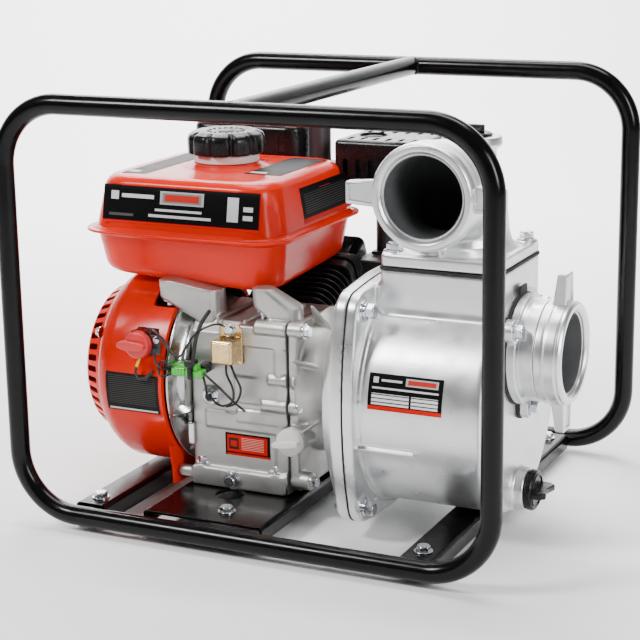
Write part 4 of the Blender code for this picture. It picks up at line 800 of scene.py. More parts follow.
shroud = turned("shroud", [
    (0.032, 0.1285), (0.1, 0.1285), (0.1, 0.1262), (0.0945, 0.124), (0.088, 0.12), (0.084, 0.1143),
    (0.032, 0.1143), (0.032, 0.1285),
], *FAN_LINE, SHROUD_ZINC, steps=128, soft=0.003)
shroud = cut(shroud, box("arm_notch", (-0.158, -0.115, 0.208), (-0.1, -0.069, 0.26), edge=0))
parts = [shroud]
for angle in (198, 168, 232):
    t = math.radians(angle)
    way = Vector((0, math.cos(t), math.sin(t)))
    side = Vector(RIGHTWARD).cross(way)
    rings = [[SHAFT + Vector((x, 0, 0)) + way * r + side * s for s, x in ((-w, base), (0, top), (w, base))]
             for r, w, top, base in ((0.098, 0.002, -0.127, -0.1272), (0.093, 0.006, -0.1185, -0.125),
                                     (0.086, 0.0085, -0.112, -0.119), (0.078, 0.009, -0.1118, -0.116))]
    parts.append(loft("stamped_rib", rings, SHROUD_ZINC))
parts.append(box("folded_tab", (-0.1175, -0.1165, 0.07), (-0.1105, -0.112, 0.093), SHROUD_ZINC, edge=0.0015))
put(join("fan_shroud", *parts), "chassis", "zinc", "flywheel_shroud")



def edges_of(made, length, slack):
    """The edges of a new block that are about this long."""
    return {
        e for v in made["verts"] for e in v.link_edges
        if abs((e.verts[0].co - e.verts[1].co).length - length) < slack
    }


HOUSING_R = 0.1035
SWITCH_X, SWITCH_Z, SWITCH_FACE = -0.153, 0.179, -0.144
housing = turned("shell", [
    (0.07, 0.215), (0.088, 0.215), (0.0965, 0.2095), (HOUSING_R, 0.197), (HOUSING_R, 0.1312),
    (HOUSING_R - 0.002, 0.1312), (HOUSING_R - 0.002, 0.1965), (0.095, 0.2075), (0.087, 0.213), (0.07, 0.213),
    (0.07, 0.215),
], *FAN_LINE, RED_PAINT, steps=160, soft=0.006, count=5)
rim = turned("rim", band(0.0985, 0.104, 0.131, 0.1332), *FAN_LINE, RED_PAINT, steps=160)
tail = [(-0.123, 0.0275), (-0.118, 0.0265), (-0.02, 0.0265), (-0.02, 0.042), (-0.1, 0.062), (-0.129, 0.07),
        (-0.127, 0.056), (-0.124, 0.042)]
housing = fuse(housing, rim, slab("tail", tail, "x", -0.133, -0.131, RED_PAINT, edge=0))
housing = cut(
    housing, box("arm_pocket", (-0.1575, -0.1135, 0.2095), (-0.12, -0.069, 0.25), edge=0.003),
    box(
        "switch_hole", (SWITCH_X - 0.0123, -0.16, SWITCH_Z - 0.0123),
        (SWITCH_X + 0.0123, -0.11, SWITCH_Z + 0.0123), edge=0,
    ),
)
put(housing, "chassis", "red_paint", "blower_housing")

recoil = turned("band", [
    (0.0, 0.24), (0.068, 0.24), (0.0765, 0.236), (0.0865, 0.2153), (0.0845, 0.2145), (0.0752, 0.2345),
    (0.067, 0.238), (0.0, 0.238),
], *FAN_LINE, RED_PAINT, steps=176, soft=0.004)
SLOTS = 44
slots = bmesh.new()
for i in range(SLOTS):
    angle = 2 * math.pi * (i + 0.5) / SLOTS
    if abs(math.degrees(math.atan2(math.sin(angle - 0.9), math.cos(angle - 0.9)))) < 17:
        continue
    place = (Matrix.Translation((-0.227, SHAFT_Y, SHAFT_Z)) @ Matrix.Rotation(angle, 4, "X")
             @ Matrix.Translation((0, 0.08, 0)) @ Matrix.Diagonal((0.0135, 0.022, 0.0062, 1)))
    made = bmesh.ops.create_cube(slots, size=1, matrix=place)
    bevel(slots, edges_of(made, 0.022, 0.0005), 0.0018)
recoil = cut(recoil, from_bmesh("slots", slots, None))
GRIP_X, GRIP_Y, GRIP_Z = -0.226, 0.052, SHAFT_Z + 0.048
GRIP_LINE = ((GRIP_X, GRIP_Y, GRIP_Z), UPWARD)
parts = [
    recoil,
    box(
        "rope_guide", (GRIP_X - 0.01, 0.016, GRIP_Z - 0.01), (GRIP_X + 0.01, 0.042, GRIP_Z + 0.01), RED_PAINT,
        edge=0.003,
    ),
    turned(
        "centre", [(0, 0.2412), (0.02, 0.2412), (0.024, 0.2398), (0, 0.2398)], *FAN_LINE, RED_PAINT,
        soft=0.001,
    ),
]
for ring_r in (0.034, 0.05):
    parts.append(
        turned("ring", [
            (ring_r - 0.0015, 0.2395), (ring_r - 0.001, 0.2408), (ring_r + 0.001, 0.2408),
            (ring_r + 0.0015, 0.2395), (ring_r - 0.0015, 0.2395),
        ], *FAN_LINE, RED_PAINT, soft=0.0006),
    )
for k in range(3):
    t = math.radians(30 + 120 * k)
    place = (-0.215, SHAFT_Y + 0.0905 * math.cos(t), SHAFT_Z + 0.0905 * math.sin(t))
    parts += bolt(place, LEFTWARD, 0.008, 0.0048, 0.006)
put(join("recoil_band", *parts), "chassis", "red_paint", "recoil_cover")

grip = turned("grip", [
    (0, 0.036), (0.0075, 0.036), (0.0085, 0.03), (0.007, 0.012), (0.007, -0.012), (0.0085, -0.03),
    (0.0075, -0.036), (0, -0.036),
], *GRIP_LINE, BLACK_PLASTIC, steps=48, soft=0.004, count=5)
grip_parts = [grip, rod(
    "neck", (GRIP_X, GRIP_Y, GRIP_Z), (GRIP_X, 0.0425, GRIP_Z), 0.0085, BLACK_PLASTIC, end_radius=0.0058,
    edge=0.0006,
)]
for z in (-0.024, -0.016, 0.016, 0.024):
    grip_parts.append(turned(
        "ridge", [(0.0074, z - 0.0012), (0.0084, z), (0.0074, z + 0.0012), (0.007, z), (0.0074, z - 0.0012)],
        *GRIP_LINE, BLACK_PLASTIC, steps=48,
    ))
put(join("pull_grip", *grip_parts), "starter_handle_body", "black_plastic", "starter_handle")

# Switch, relay, leads, dipstick and drain bolt

put(join(
    "switch_box",
    box(
        "base", (SWITCH_X - 0.012, SWITCH_FACE, SWITCH_Z - 0.012),
        (SWITCH_X + 0.012, -0.126, SWITCH_Z + 0.012), BLACK_PLASTIC, edge=0.002,
    ),
    box(
        "plate", (SWITCH_X + 0.004, -0.1432, SWITCH_Z - 0.01), (SWITCH_X + 0.0225, -0.1412, SWITCH_Z + 0.01),
        DARK_STEEL,
    ),
    *bolt((SWITCH_X + 0.018, -0.1432, SWITCH_Z + 0.0055), NEARWARD, 0.0055, 0.0025, 0.0038),
), "chassis", "black_plastic", "stop_switch_base")
knob = turned(
    "disc", [(0, 0.0098), (0.0112, 0.0098), (0.0136, 0.0085), (0.0142, 0.0), (0, 0.0)],
    (SWITCH_X, SWITCH_FACE - 0.0003, SWITCH_Z), NEARWARD, RED_PLASTIC, soft=0.0016,
)
wing = mirrored([(-0.0195, -0.0024), (-0.011, -0.005), (0.006, -0.0042), (0.0118, -0.002)])
wing = slab(
    "wing", [(SWITCH_X + a, SWITCH_Z + b) for a, b in wing], "y", SWITCH_FACE - 0.0148, SWITCH_FACE - 0.005,
    RED_PLASTIC, edge=0.0013,
)
put(join("switch_knob", knob, wing), "switch_knob_body", "red_plastic", "stop_switch_knob")

WALL_Y = NEAR_WALL - 0.0003
relay = box(
    "can", (-0.0775, -0.137, 0.164), (-0.0535, WALL_Y - 0.002, 0.1885), GOLD_ZINC, edge=0.0028, segments=4,
)
bracket = slab(
    "bracket",
    [(-0.078, 0.16), (-0.053, 0.16), (-0.053, 0.1965), (-0.056, 0.2), (-0.075, 0.2), (-0.078, 0.197)], "y",
    WALL_Y - 0.0035, WALL_Y - 0.0015, GOLD_ZINC, edge=0.0006,
)
put(join(
    "relay_can", relay, bracket, box("lid", (-0.075, -0.1378, 0.1665), (-0.056, -0.136, 0.1862), GOLD_ZINC),
    *bolt((-0.0655, WALL_Y - 0.003, 0.1945), NEARWARD, 0.008, 0.0046, 0.0064),
), "chassis", "gold_zinc", "oil_alert_unit")

LEAD_R = 0.0011
wires = [
    [
        (-0.1385, -0.139, 0.18), (-0.1335, -0.146, 0.187), (-0.124, -0.149, 0.186), (-0.119, -0.147, 0.176),
        (-0.1225, -0.145, 0.166), (-0.1262, -0.143, 0.159), (-0.1223, -0.137, 0.1555),
    ],
    [
        (-0.139, -0.14, 0.177), (-0.134, -0.148, 0.175), (-0.133, -0.15, 0.166), (-0.129, -0.148, 0.158),
        (-0.1215, -0.136, 0.153),
    ],
    [
        (-0.148, -0.144, 0.19), (-0.138, -0.148, 0.1965), (-0.123, -0.15, 0.188), (-0.109, -0.146, 0.17),
        (-0.093, -0.14, 0.193), (-0.08, -0.125, 0.201), (-0.07, -0.118, 0.199),
    ],
    [
        (-0.1215, -0.138, 0.15), (-0.131, -0.142, 0.147), (-0.1335, -0.144, 0.156), (-0.127, -0.146, 0.164),
        (-0.118, -0.14, 0.158),
    ],
]
parts = [cable("wire", w, LEAD_R) for w in wires]
sleeve = [(-0.139, -0.144, 0.152), (-0.146, -0.147, 0.145), (-0.152, -0.148, 0.144)]
parts.append(cable("sleeve", sleeve, 0.0019, RUBBER, 6))
put(join("switch_wires", *parts), "chassis", "rubber", "switch_lead")
tip = [(-0.1535, -0.144, 0.1665), (-0.154, -0.147, 0.162), (-0.156, -0.148, 0.156)]
tail = [(-0.156, -0.148, 0.156), (-0.1575, -0.1482, 0.15), (-0.153, -0.148, 0.144), (-0.144, -0.1475, 0.144)]
tip = cable("tip", tip, 0.0015, YELLOW_PLASTIC, 6)
put(join("tip_wire", tip, cable("tail", tail, 0.0013, WIRE, 6)), "chassis", "rubber")

wires = [
    [
        (-0.066, -0.125, 0.164), (-0.064, -0.129, 0.153), (-0.056, -0.132, 0.14), (-0.056, -0.133, 0.127),
        (-0.068, -0.13, 0.12), (-0.08, -0.124, 0.12), (-0.088, -0.1178, 0.124),
    ],
    [
        (-0.088, -0.133, 0.153), (-0.079, -0.136, 0.148), (-0.068, -0.135, 0.139), (-0.056, -0.131, 0.126),
        (-0.045, -0.127, 0.116),
    ],
    [
        (-0.088, -0.134, 0.15), (-0.084, -0.137, 0.142), (-0.085, -0.133, 0.133), (-0.089, -0.122, 0.127),
        (-0.09, -0.115, 0.125),
    ],
    [
        (-0.062, -0.125, 0.164), (-0.054, -0.131, 0.154), (-0.047, -0.132, 0.14), (-0.052, -0.133, 0.126),
        (-0.064, -0.131, 0.12),
    ],
]
parts = [cable("wire", w, LEAD_R * 1.1) for w in wires]
GROMMET_LINE = ((-0.09, NEAR_WALL - 0.0025, 0.124), NEARWARD)
parts.append(turned(
    "grommet",
    [(0, 0.0055), (0.0045, 0.0055), (0.005, 0.004), (0.0092, 0.0032), (0.0098, 0.0004), (0, 0.0004)],
    *GROMMET_LINE, ZINC, 48, soft=0.001,
))
parts.append(turned("core", [(0, 0.0068), (0.0036, 0.0068), (0.0042, 0.005), (0, 0.005)],
                    *GROMMET_LINE, RUBBER, 32, soft=0.0006))
put(join("sender_wires", *parts), "chassis", "rubber", "oil_alert_lead")
strap = [
    (-0.089, -0.115, 0.212), (-0.0905, -0.129, 0.203), (-0.0915, -0.139, 0.19), (-0.093, -0.142, 0.176),
    (-0.0945, -0.143, 0.162),
]
put(cable("clip_strap", strap, 0.002, RUBBER, sides=20), "chassis", "rubber")

green = []
for k, (x0, x1, z0, z1) in enumerate(
    ((-0.121, -0.105, 0.1485, 0.1575), (-0.108, -0.087, 0.1478, 0.156), (-0.1185, -0.093, 0.1545, 0.1612)),
):
    green.append(box("shell", (x0, -0.1405 + 0.001 * k, z0), (x1, -0.128, z1), GREEN_PLASTIC, edge=0.0016))
for x in (-0.1175, -0.1135, -0.11):
    green.append(
        box("key", (x - 0.0008, -0.1412, 0.15), (x + 0.0008, -0.14, 0.1565), GREEN_PLASTIC, edge=0.0004),
    )
green.append(box("tie", (-0.1015, -0.1432, 0.147), (-0.0965, -0.127, 0.165), BLACK_PLASTIC, edge=0.0016))
green.append(box("tie_head", (-0.103, -0.1452, 0.16), (-0.094, -0.139, 0.1668), BLACK_PLASTIC, edge=0.0012))
green.append(box("clip", (-0.098, -0.128, 0.149), (-0.09, WALL_Y, 0.159), BLACK_PLASTIC))
put(join("green_plug", *green), "chassis", "green_plastic", "lead_connector")

DIPSTICK = Vector((0.002, -0.1215, 0.089))
cap = turned(
    "cap", [(0, 0.0078), (0.011, 0.0078), (0.0136, 0.0066), (0.0142, 0.0003), (0, 0.0003)], DIPSTICK,
    NEARWARD, WHITE_PLASTIC, soft=0.0012,
)
turn = Matrix.Translation(DIPSTICK) @ Matrix.Rotation(math.radians(-8), 4, "Y")
wing = mirrored([(-0.015, -0.0022), (-0.006, -0.0036), (0.006, -0.0036), (0.0138, -0.0026)])
wing = slab("wing", wing, "y", -0.0145, -0.004, WHITE_PLASTIC, edge=0.0013)
wing.data.transform(turn)
put(join(
    "oil_cap", cap, wing,
    rod("stem", DIPSTICK, DIPSTICK + Vector((0, 0.018, 0)), 0.0068, WHITE_PLASTIC, edge=0.0005),
    rod(
        "blade", DIPSTICK + Vector((0, 0.017, 0)), DIPSTICK + Vector((0, 0.033, 0)), 0.0019, WHITE_PLASTIC,
        sides=16, edge=0.0005,
    ),
), "dipstick_body", "grey_plastic", "dipstick")
put(join(
    "drain_bolt_zinc",
    turned("seal", puck(0.0092, -0.0002, 0.0022), (-0.066, -0.1188, 0.0388), NEARWARD, ZINC, 48, soft=0.0006),
    *bolt((-0.066, -0.1205, 0.0388), NEARWARD, 0.011, 0.0062, 0.0078),
), "chassis", "zinc", "oil_drain_bolt")

# Fuel tank, cap and neck

SUMP = 0.0125
TANK_PROFILE = [
    (0.238, 0.028, 0.03), (0.2384, 0.0222, 0.033), (0.2405, 0.0178, 0.034), (0.246, 0.0148, 0.034),
    (0.26, 0.0124, 0.034), (0.281, 0.009, 0.034), (0.285, 0.0092, 0.034), (0.305, 0.0125, 0.034),
    (0.3265, 0.0165, 0.034), (0.3325, 0.0192, 0.034), (0.336, 0.024, 0.031), (0.3372, 0.03, 0.028),
    (0.3375, 0.036, 0.024),
]


def tank_ring(z, inset, radius):
    """One level of the tank, whose floor sinks towards the near corner on the pump's side."""
    outline = round_rect(
        TANK_LOW[0] + inset, TANK_LOW[1] + inset, TANK_HIGH[0] - inset, TANK_HIGH[1] - inset, radius,
        count=16,
    )
    depth = max(0.0, (TANK_SEAM_Z - z) / (TANK_SEAM_Z - TANK_LOW[2]))
    return [(x, y, z - SUMP * depth * (x - TANK_LOW[0]) / (TANK_HIGH[0] - TANK_LOW[0])
             * (TANK_HIGH[1] - y) / (TANK_HIGH[1] - TANK_LOW[1])) for x, y in outline]


rings = [tank_ring(*p) for p in smooth_line(TANK_PROFILE, 4)]
skin = loft("skin", rings, RED_PAINT)
seam = slab("seam", round_rect(TANK_LOW[0], TANK_LOW[1], TANK_HIGH[0], TANK_HIGH[1], 0.038, count=16), "z",
            TANK_SEAM_Z - 0.0013, TANK_SEAM_Z + 0.0013, RED_PAINT)
fillet = loft("fillet", [
    tank_ring(z, inset, 0.035)
    for z, inset in (
        (0.2765, 0.0088), (0.2788, 0.007), (0.2796, 0.005), (0.2824, 0.005), (0.2832, 0.007),
        (0.2855, 0.0088),
    )
], RED_PAINT)
boss = turned("boss", [
    (0, 0.3415), (0.035, 0.3415), (0.04, 0.3395), (0.048, 0.3376), (0.048, 0.336), (0, 0.336),
], *CAP_LINE, RED_PAINT, soft=0.004, count=5)
neck = turned("neck", band(0.0265, 0.029, 0.337, 0.35), *CAP_LINE, RED_PAINT, 64)
put(join("tank_shell", skin, seam, fillet, boss, neck), "chassis", "red_paint", "fuel_tank")
put(
    turned("neck_collar", [
        (0.0293, 0.3503), (0.0332, 0.3503), (0.0342, 0.349), (0.0346, 0.3418), (0.0293, 0.3418),
        (0.0293, 0.3503),
    ], *CAP_LINE, WHITE_PLASTIC, soft=0.0012),
    "chassis", "white_plastic", "tank_neck_ring",
)


def scallop(angle, r, _):
    """The cap's ten broad lobes with narrow grooves between them, fading out towards its middle."""
    notch = (0.5 - 0.5 * math.cos(10 * angle)) ** 7
    share = max(0.0, min(1.0, (r - 0.027) / 0.01))
    return 1 + share * (0.04 - 0.105 * notch)


cap = turned("cap", [
    (0, 0.3728), (0.023, 0.3735), (0.0275, CAP_TOP), (0.031, CAP_TOP - 0.0002), (0.0375, CAP_TOP - 0.0035),
    (0.0393, CAP_TOP - 0.008), (0.039, CAP_LOW + 0.0012), (0.0372, CAP_LOW), (0, CAP_LOW),
], *CAP_LINE, BLACK_PLASTIC, steps=320, bump=scallop, soft=0.002, count=5)
marks = []
for i in range(18):
    t = 2 * math.pi * i / 18
    place = (CAP_X + 0.0185 * math.cos(t), CAP_Y + 0.0185 * math.sin(t), 0.0)
    marks.append(turned(
        "mark", [(0, 0.3742), (0.0014, 0.3742), (0.0018, 0.373), (0, 0.373)], place, UPWARD, BLACK_PLASTIC,
        16, soft=0.0003,
    ))
put(join(
    "filler_cap", cap, *marks,
    turned(
        "hub", [(0, 0.3742), (0.0085, 0.3742), (0.0105, 0.3728), (0, 0.3728)], *CAP_LINE, BLACK_PLASTIC,
        soft=0.001,
    ),
    rod("plug", (CAP_X, CAP_Y, CAP_LOW + 0.0005), (CAP_X, CAP_Y, 0.343), 0.024, BLACK_PLASTIC, edge=0.001),
), "fuel_cap_body", "black_plastic", "fuel_cap")


LABEL_STEPS = 12


def tank_inset(z):
    """How far the tank's side stands in from its seam, a little proud for a label."""
    for (z0, a, _), (z1, b, _) in zip(TANK_PROFILE, TANK_PROFILE[1:]):
        if z0 <= z <= z1:
            return a + (b - a) * (z - z0) / (z1 - z0) - 0.0003
    return TANK_PROFILE[-1][1]


def side_label(name, low, high, z0, z1, near, finish):
    """A label on the tank's near side (near) or right side."""
    rows = []
    for j in range(LABEL_STEPS + 1):
        z = z0 + (z1 - z0) * j / LABEL_STEPS
        inset = tank_inset(z)
        row = []
        for i in range(LABEL_STEPS + 1):
            t = low + (high - low) * i / LABEL_STEPS
            row.append((t, TANK_LOW[1] + inset, z) if near else (TANK_HIGH[0] - inset, t, z))
        rows.append(row)
    return patch(name, rows, finish)


BADGE = [
    (0.0, 0.0, 1.0, 0.085, STRIPE), (0.37, 0.56, 0.65, 0.9, SILVER),
    (0.385, 0.6, 0.635, 0.86, (0.2, 0.2, 0.21)), (0.4, 0.64, 0.62, 0.82, (0.5, 0.03, 0.02)),
    (0.05, 0.62, 0.1, 0.84, PALE), (0.12, 0.68, 0.33, 0.78, PALE), (0.04, 0.2, 0.2, 0.27, DIM),
    (0.34, 0.38, 0.64, 0.44, PALE), (0.3, 0.22, 0.7, 0.29, PALE), (0.8, 0.24, 0.87, 0.86, PALE),
    (0.9, 0.3, 0.96, 0.42, PALE), (0.9, 0.52, 0.96, 0.64, PALE),
]
put(side_label("tank_badge", -0.22, -0.041, 0.2905, 0.329, True, decal("badge_print", INK, BADGE)), "chassis")
SIDE = decal(
    "side_print", INK, [(0.0, 0.0, 1.0, 0.13, STRIPE)],
    [(0.06, 0.22, 0.94, 0.8, 9, DIM), (0.4, 0.84, 0.62, 0.9, 1, (0.35, 0.04, 0.03))],
)
put(side_label("tank_side_print", -0.025, 0.09, 0.288, 0.324, False, SIDE), "chassis")


def flat_label(name, corners, finish):
    """A label on the tank's flat top: corners are near-left, near-right, far-right and far-left."""
    a, b, c, d = (Vector((x, y, 0.33765)) for x, y in corners)
    shares = [k / LABEL_STEPS for k in range(LABEL_STEPS + 1)]
    return patch(name, [[tuple(a.lerp(b, u).lerp(d.lerp(c, u), v)) for u in shares] for v in shares], finish)


TOP_PRINT = decal("top_print", INK, [(0.06, 0.06, 0.5, 0.13, PALE)], [(0.06, 0.22, 0.94, 0.94, 14, DIM)])
put(flat_label(
    "tank_top_print_left", [(-0.212, -0.07), (-0.184, -0.07), (-0.184, 0.07), (-0.212, 0.07)], TOP_PRINT,
), "chassis")
put(flat_label(
    "tank_top_print_right", [(-0.089, -0.034), (-0.048, -0.034), (-0.048, 0.078), (-0.089, 0.078)], TOP_PRINT,
), "chassis")

WARM = decal("case_print", INK, [
    (0.03, 0.0, 1.0, 0.1, STRIPE), (0.04, 0.16, 0.94, 0.92, STRIPE),
    (0.08, 0.28, 0.3, 0.78, (0.03, 0.02, 0.02)), (0.12, 0.4, 0.26, 0.66, STRIPE),
], [(0.36, 0.26, 0.86, 0.84, 8, (0.75, 0.45, 0.4))])
rows = [[(-0.0765 + 0.0505 * i, NEAR_WALL - 0.0003, 0.0632 + 0.0235 * j) for i in (0, 1)] for j in (0, 1)]
put(patch("case_print_plate", rows, WARM), "chassis")


def curved_label(name, x0, x1, low, high, radius, finish):
    """A label wrapped on a drum about the shaft; its angles are degrees up from the near side."""
    rows = []
    for j in range(25):
        t = math.radians(low + (high - low) * j / 24)
        y, z = SHAFT_Y - radius * math.cos(t), SHAFT_Z + radius * math.sin(t)
        rows.append([(x0 + (x1 - x0) * i / 4, y, z) for i in range(5)])
    return patch(name, rows, finish)


FAN_PRINT = decal(
    "fan_print", (0.015, 0.015, 0.0145),
    [(0.04, 0.03, 0.96, 0.075, PALE), (0.0, 0.12, 1.0, 0.14, (0.012, 0.012, 0.012))],
    [(0.05, 0.17, 0.95, 0.93, 15, (0.06, 0.058, 0.056))],
)
put(curved_label("fan_print_plate", -0.196, -0.135, -15.5, 7.0, HOUSING_R + 0.0003, FAN_PRINT), "chassis")
PUMP_PRINT = decal("pump_print", INK, [
    (0.0, 0.0, 1.0, 0.12, STRIPE), (0.05, 0.15, 0.56, 0.46, (0.75, 0.75, 0.75)),
    (0.59, 0.15, 0.95, 0.46, (0.75, 0.75, 0.75)), (0.5, 0.72, 0.94, 0.93, SILVER),
    (0.53, 0.76, 0.91, 0.89, (0.5, 0.03, 0.02)), (0.06, 0.74, 0.13, 0.9, PALE),
    (0.17, 0.79, 0.45, 0.85, PALE), (0.05, 0.58, 0.95, 0.63, PALE),
], [(0.05, 0.15, 0.95, 0.46, 3, (0.03, 0.03, 0.03))])
put(curved_label("pump_print_plate", 0.0975, 0.172, 4.6, 22.6, PUMP_R + 0.0004, PUMP_PRINT), "chassis")

# Cylinder, head and rocker cover


def fin_plate(name, start, thick, half_x, low, high, corner, finish):
    """A cooling fin across the cylinder's axis, with round corners; low and high are across the cylinder."""
    across = Vector((0, -math.sin(CYL_TILT), math.cos(CYL_TILT)))
    outline = round_rect(-half_x, low, half_x, high, corner, count=8)
    rings = []
    for d, inset in (
        (start, 0.0007), (start + 0.0006, 0.0), (start + thick - 0.0006, 0.0), (start + thick, 0.0007),
    ):
        centre_b = (low + high) / 2
        ring = []
        for a, b in outline:
            a2 = a * (1 - inset / half_x)
            b2 = centre_b + (b - centre_b) * (1 - inset / ((high - low) / 2))
            ring.append(SHAFT + CYL_AXIS * d + across * b2 + Vector((CYL_X + a2, 0, 0)))
        rings.append(ring)
    return loft(name, rings, finish)


parts = [rod("barrel", along(0.0623), along(0.1218), 0.0435, BLACK_CASTING, sides=64)]
for i in range(7):
    start = 0.0655 + i * 0.0082
    parts.append(fin_plate("fin", start, 0.0024, 0.05, -0.0495, 0.049, 0.02, BLACK_CASTING))
put(join("barrel_fins", *parts), "chassis", "black_casting", "cylinder_barrel")
parts = [fin_plate("deck", 0.1224, 0.01, 0.051, -0.055, 0.05, 0.012, BLACK_CASTING),
         fin_plate("core", 0.131, 0.033, 0.04, -0.04, 0.038, 0.008, BLACK_CASTING)]
for i in range(5):
    start = 0.1372 + i * 0.0056
    top = 0.05 - 0.0035 * i
    parts.append(fin_plate("fin", start, 0.0022, 0.0515, -0.0555, top, 0.014, BLACK_CASTING))
head = join("head_fins", *parts)
low_roof = box("tank_room", (-0.14, 0.0, 0.2372), (0.0, 0.15, 0.3), edge=0)
head = refinish(cut(head, low_roof), BLACK_CASTING)
put(join(
    "head_body", head,
    box("port", (-0.022, 0.085, 0.195), (0.0125, 0.139, 0.2295), BLACK_CASTING, edge=0.003),
), "chassis", "black_casting", "cylinder_head")
rocker = fin_plate("rocker", 0.1643, 0.0317, 0.036, -0.034, 0.034, 0.008, BLACK_PAINT)
rocker = soften(rocker, 0.003, 4)
parts = [rocker]
for a in (-0.026, 0.026):
    for b in (-0.024, 0.024):
        parts += bolt(along(0.1958, b, CYL_X + a) - CYL_AXIS * 0.0075, CYL_AXIS, 0.0075, 0.007, 0.0058)
put(join("rocker_box", *parts), "chassis", "black_paint", "rocker_cover")

# Air cleaner and muffler guard

lid = slab(
    "lid", round_rect(-0.2345, 0.1145, -0.099, 0.1985, 0.019, count=12), "z", 0.3173, 0.366, BLACK_PLASTIC,
    edge=0.007, segments=6,
)
parts = [lid, box("crown", (-0.22, 0.128, 0.364), (-0.113, 0.185, 0.3662), BLACK_PLASTIC, edge=0.001)]
for x in (-0.205, -0.185, -0.165, -0.145, -0.125):
    parts.append(
        box("rib", (x - 0.0012, 0.1138, 0.323), (x + 0.0012, 0.116, 0.356), BLACK_PLASTIC, edge=0.0006),
    )
put(join("cleaner_lid", *parts), "chassis", "black_plastic", "air_cleaner_cover")

GUARD_LOW, GUARD_HIGH = (-0.056, 0.1115, 0.288), (0.046, 0.199, 0.3545)
HOLE_X, HOLE_Y, HOLE_R, SHEET = -0.028, 0.157, 0.015, 0.0015
guard = box("guard", GUARD_LOW, GUARD_HIGH, BLACK_PLASTIC, edge=0.006, segments=5)
hollow = box(
    "hollow", (GUARD_LOW[0] + SHEET, GUARD_LOW[1] + SHEET, 0.27), [high - SHEET for high in GUARD_HIGH],
    edge=0.0048, segments=5,
)
guard = cut(
    guard, hollow, rod("round_hole", (HOLE_X, HOLE_Y, 0.34), (HOLE_X, HOLE_Y, 0.36), HOLE_R, sides=64),
)
vents = bmesh.new()


def vent(centre, size):
    made = bmesh.ops.create_cube(
        vents, size=1, matrix=Matrix.Translation(centre) @ Matrix.Diagonal((*size, 1)),
    )
    bevel(vents, edges_of(made, 0.02, 0.0008), min(0.0022, max(size) / 8))


for y in (0.128, 0.184):
    for i in range(6):
        vent((-0.042 + 0.0148 * i, y, 0.352), (0.0055, 0.017, 0.02))
for i in range(6):
    vent((-0.042 + 0.0148 * i, 0.112, 0.319), (0.0055, 0.02, 0.03))
    vent((0.046, 0.1235 + 0.0128 * i, 0.319), (0.02, 0.0055, 0.03))
guard = cut(guard, from_bmesh("vents", vents, None))
GUARD_TOP = GUARD_HIGH[2]
lip = turned("lip", [
    (HOLE_R, GUARD_TOP), (0.0162, 0.3552), (0.0174, GUARD_TOP), (0.0162, 0.3538), (HOLE_R, GUARD_TOP),
], (HOLE_X, HOLE_Y, 0), UPWARD, BLACK_PAINT, 64)
screws = [
    b
    for x, y in ((-0.046, 0.1165), (0.036, 0.1165))
    for b in bolt((x, 0.1118, 0.298), NEARWARD, 0.007, 0.003, 0.0048)
]
put(join("guard_shell", guard, lip, *screws), "chassis", "black_paint", "muffler_guard")

# Pump

CORNER_ROUND = 0.022


def flange_quarter(middle, sink, corner_z, steps=10):
    """The far upper quarter of the pump flange: a bowed side, a round corner and a bowed top."""
    spots = [0.0, 0.014, 0.028, 0.042, 0.056, 0.07]
    side = [(0.1205 - 0.0105 * (t / 0.09) ** 2, t) for t in spots]
    turns = [math.radians(14 + 68 * i / steps) for i in range(steps + 1)]
    corner = [(0.086 + CORNER_ROUND * math.cos(t), corner_z + CORNER_ROUND * math.sin(t)) for t in turns]
    return side + corner + [(t, middle - sink * (t / 0.09) ** 2) for t in spots[::-1]]


def flange_outline(grow=0.0):
    """A square with bowed sides and round corners, a little lower below the shaft than above it."""
    upper = flange_quarter(0.1215, 0.0065, 0.0935)
    lower = [(a, -b) for a, b in flange_quarter(0.1185, 0.0035, 0.0915)]
    half = lower[::-1] + upper[1:]
    whole = half + [(-a, b) for a, b in half[::-1]][1:-1]
    size = 1 + grow / 0.12
    return [(SHAFT_Y + a * size, SHAFT_Z + b * size) for a, b in whole]


FLANGE = flange_outline()
FLANGE_BOLTS = [(-0.1325, 0.2325), (0.0525, 0.2325), (-0.1375, 0.0375), (0.0575, 0.0375)]
bowl_rings = [
    (PUMP_X0 - 0.0004, FLANGE), (PUMP_X0 - 0.0115, FLANGE), (0.0517, circle(SHAFT_Y, SHAFT_Z, 0.115, 96)),
]
adapter = casting("adapter", [
    hull("bowl", [(x, y, z) for x, ring in bowl_rings for y, z in ring]),
    rod("neck", (0.0303, SHAFT_Y, SHAFT_Z), (0.053, SHAFT_Y, SHAFT_Z), 0.058, sides=96, end_radius=0.07),
], BRIGHT, 0.0014, 3, 0.4)
parts = [adapter]
for y, z in FLANGE_BOLTS:
    parts += bolt((PUMP_X0 - 0.0115, y, z), LEFTWARD, 0.011, 0.005, 0.008)
for k in range(4):
    t = math.radians(45 + 90 * k)
    parts += bolt(
        (0.05, SHAFT_Y + 0.044 * math.cos(t), SHAFT_Z + 0.044 * math.sin(t)), LEFTWARD, 0.01, 0.006, 0.0075,
    )
put(join("adapter_casting", *parts), "chassis", "bright_aluminium", "pump_adapter")
put(slab(
    "flange_gasket", flange_outline(0.0003), "x", PUMP_X0 - 0.0005, PUMP_X0 + 0.0001, RUBBER, edge=0,
), "chassis", "rubber")

BOX_X0, BOX_X1, BOX_Y0, BOX_Y1 = 0.0897, 0.2087, -0.1035, 0.0235
LUG_ANGLES, LUG_R, LUG_END_R = (150, 270, 30), 0.058, 0.0115


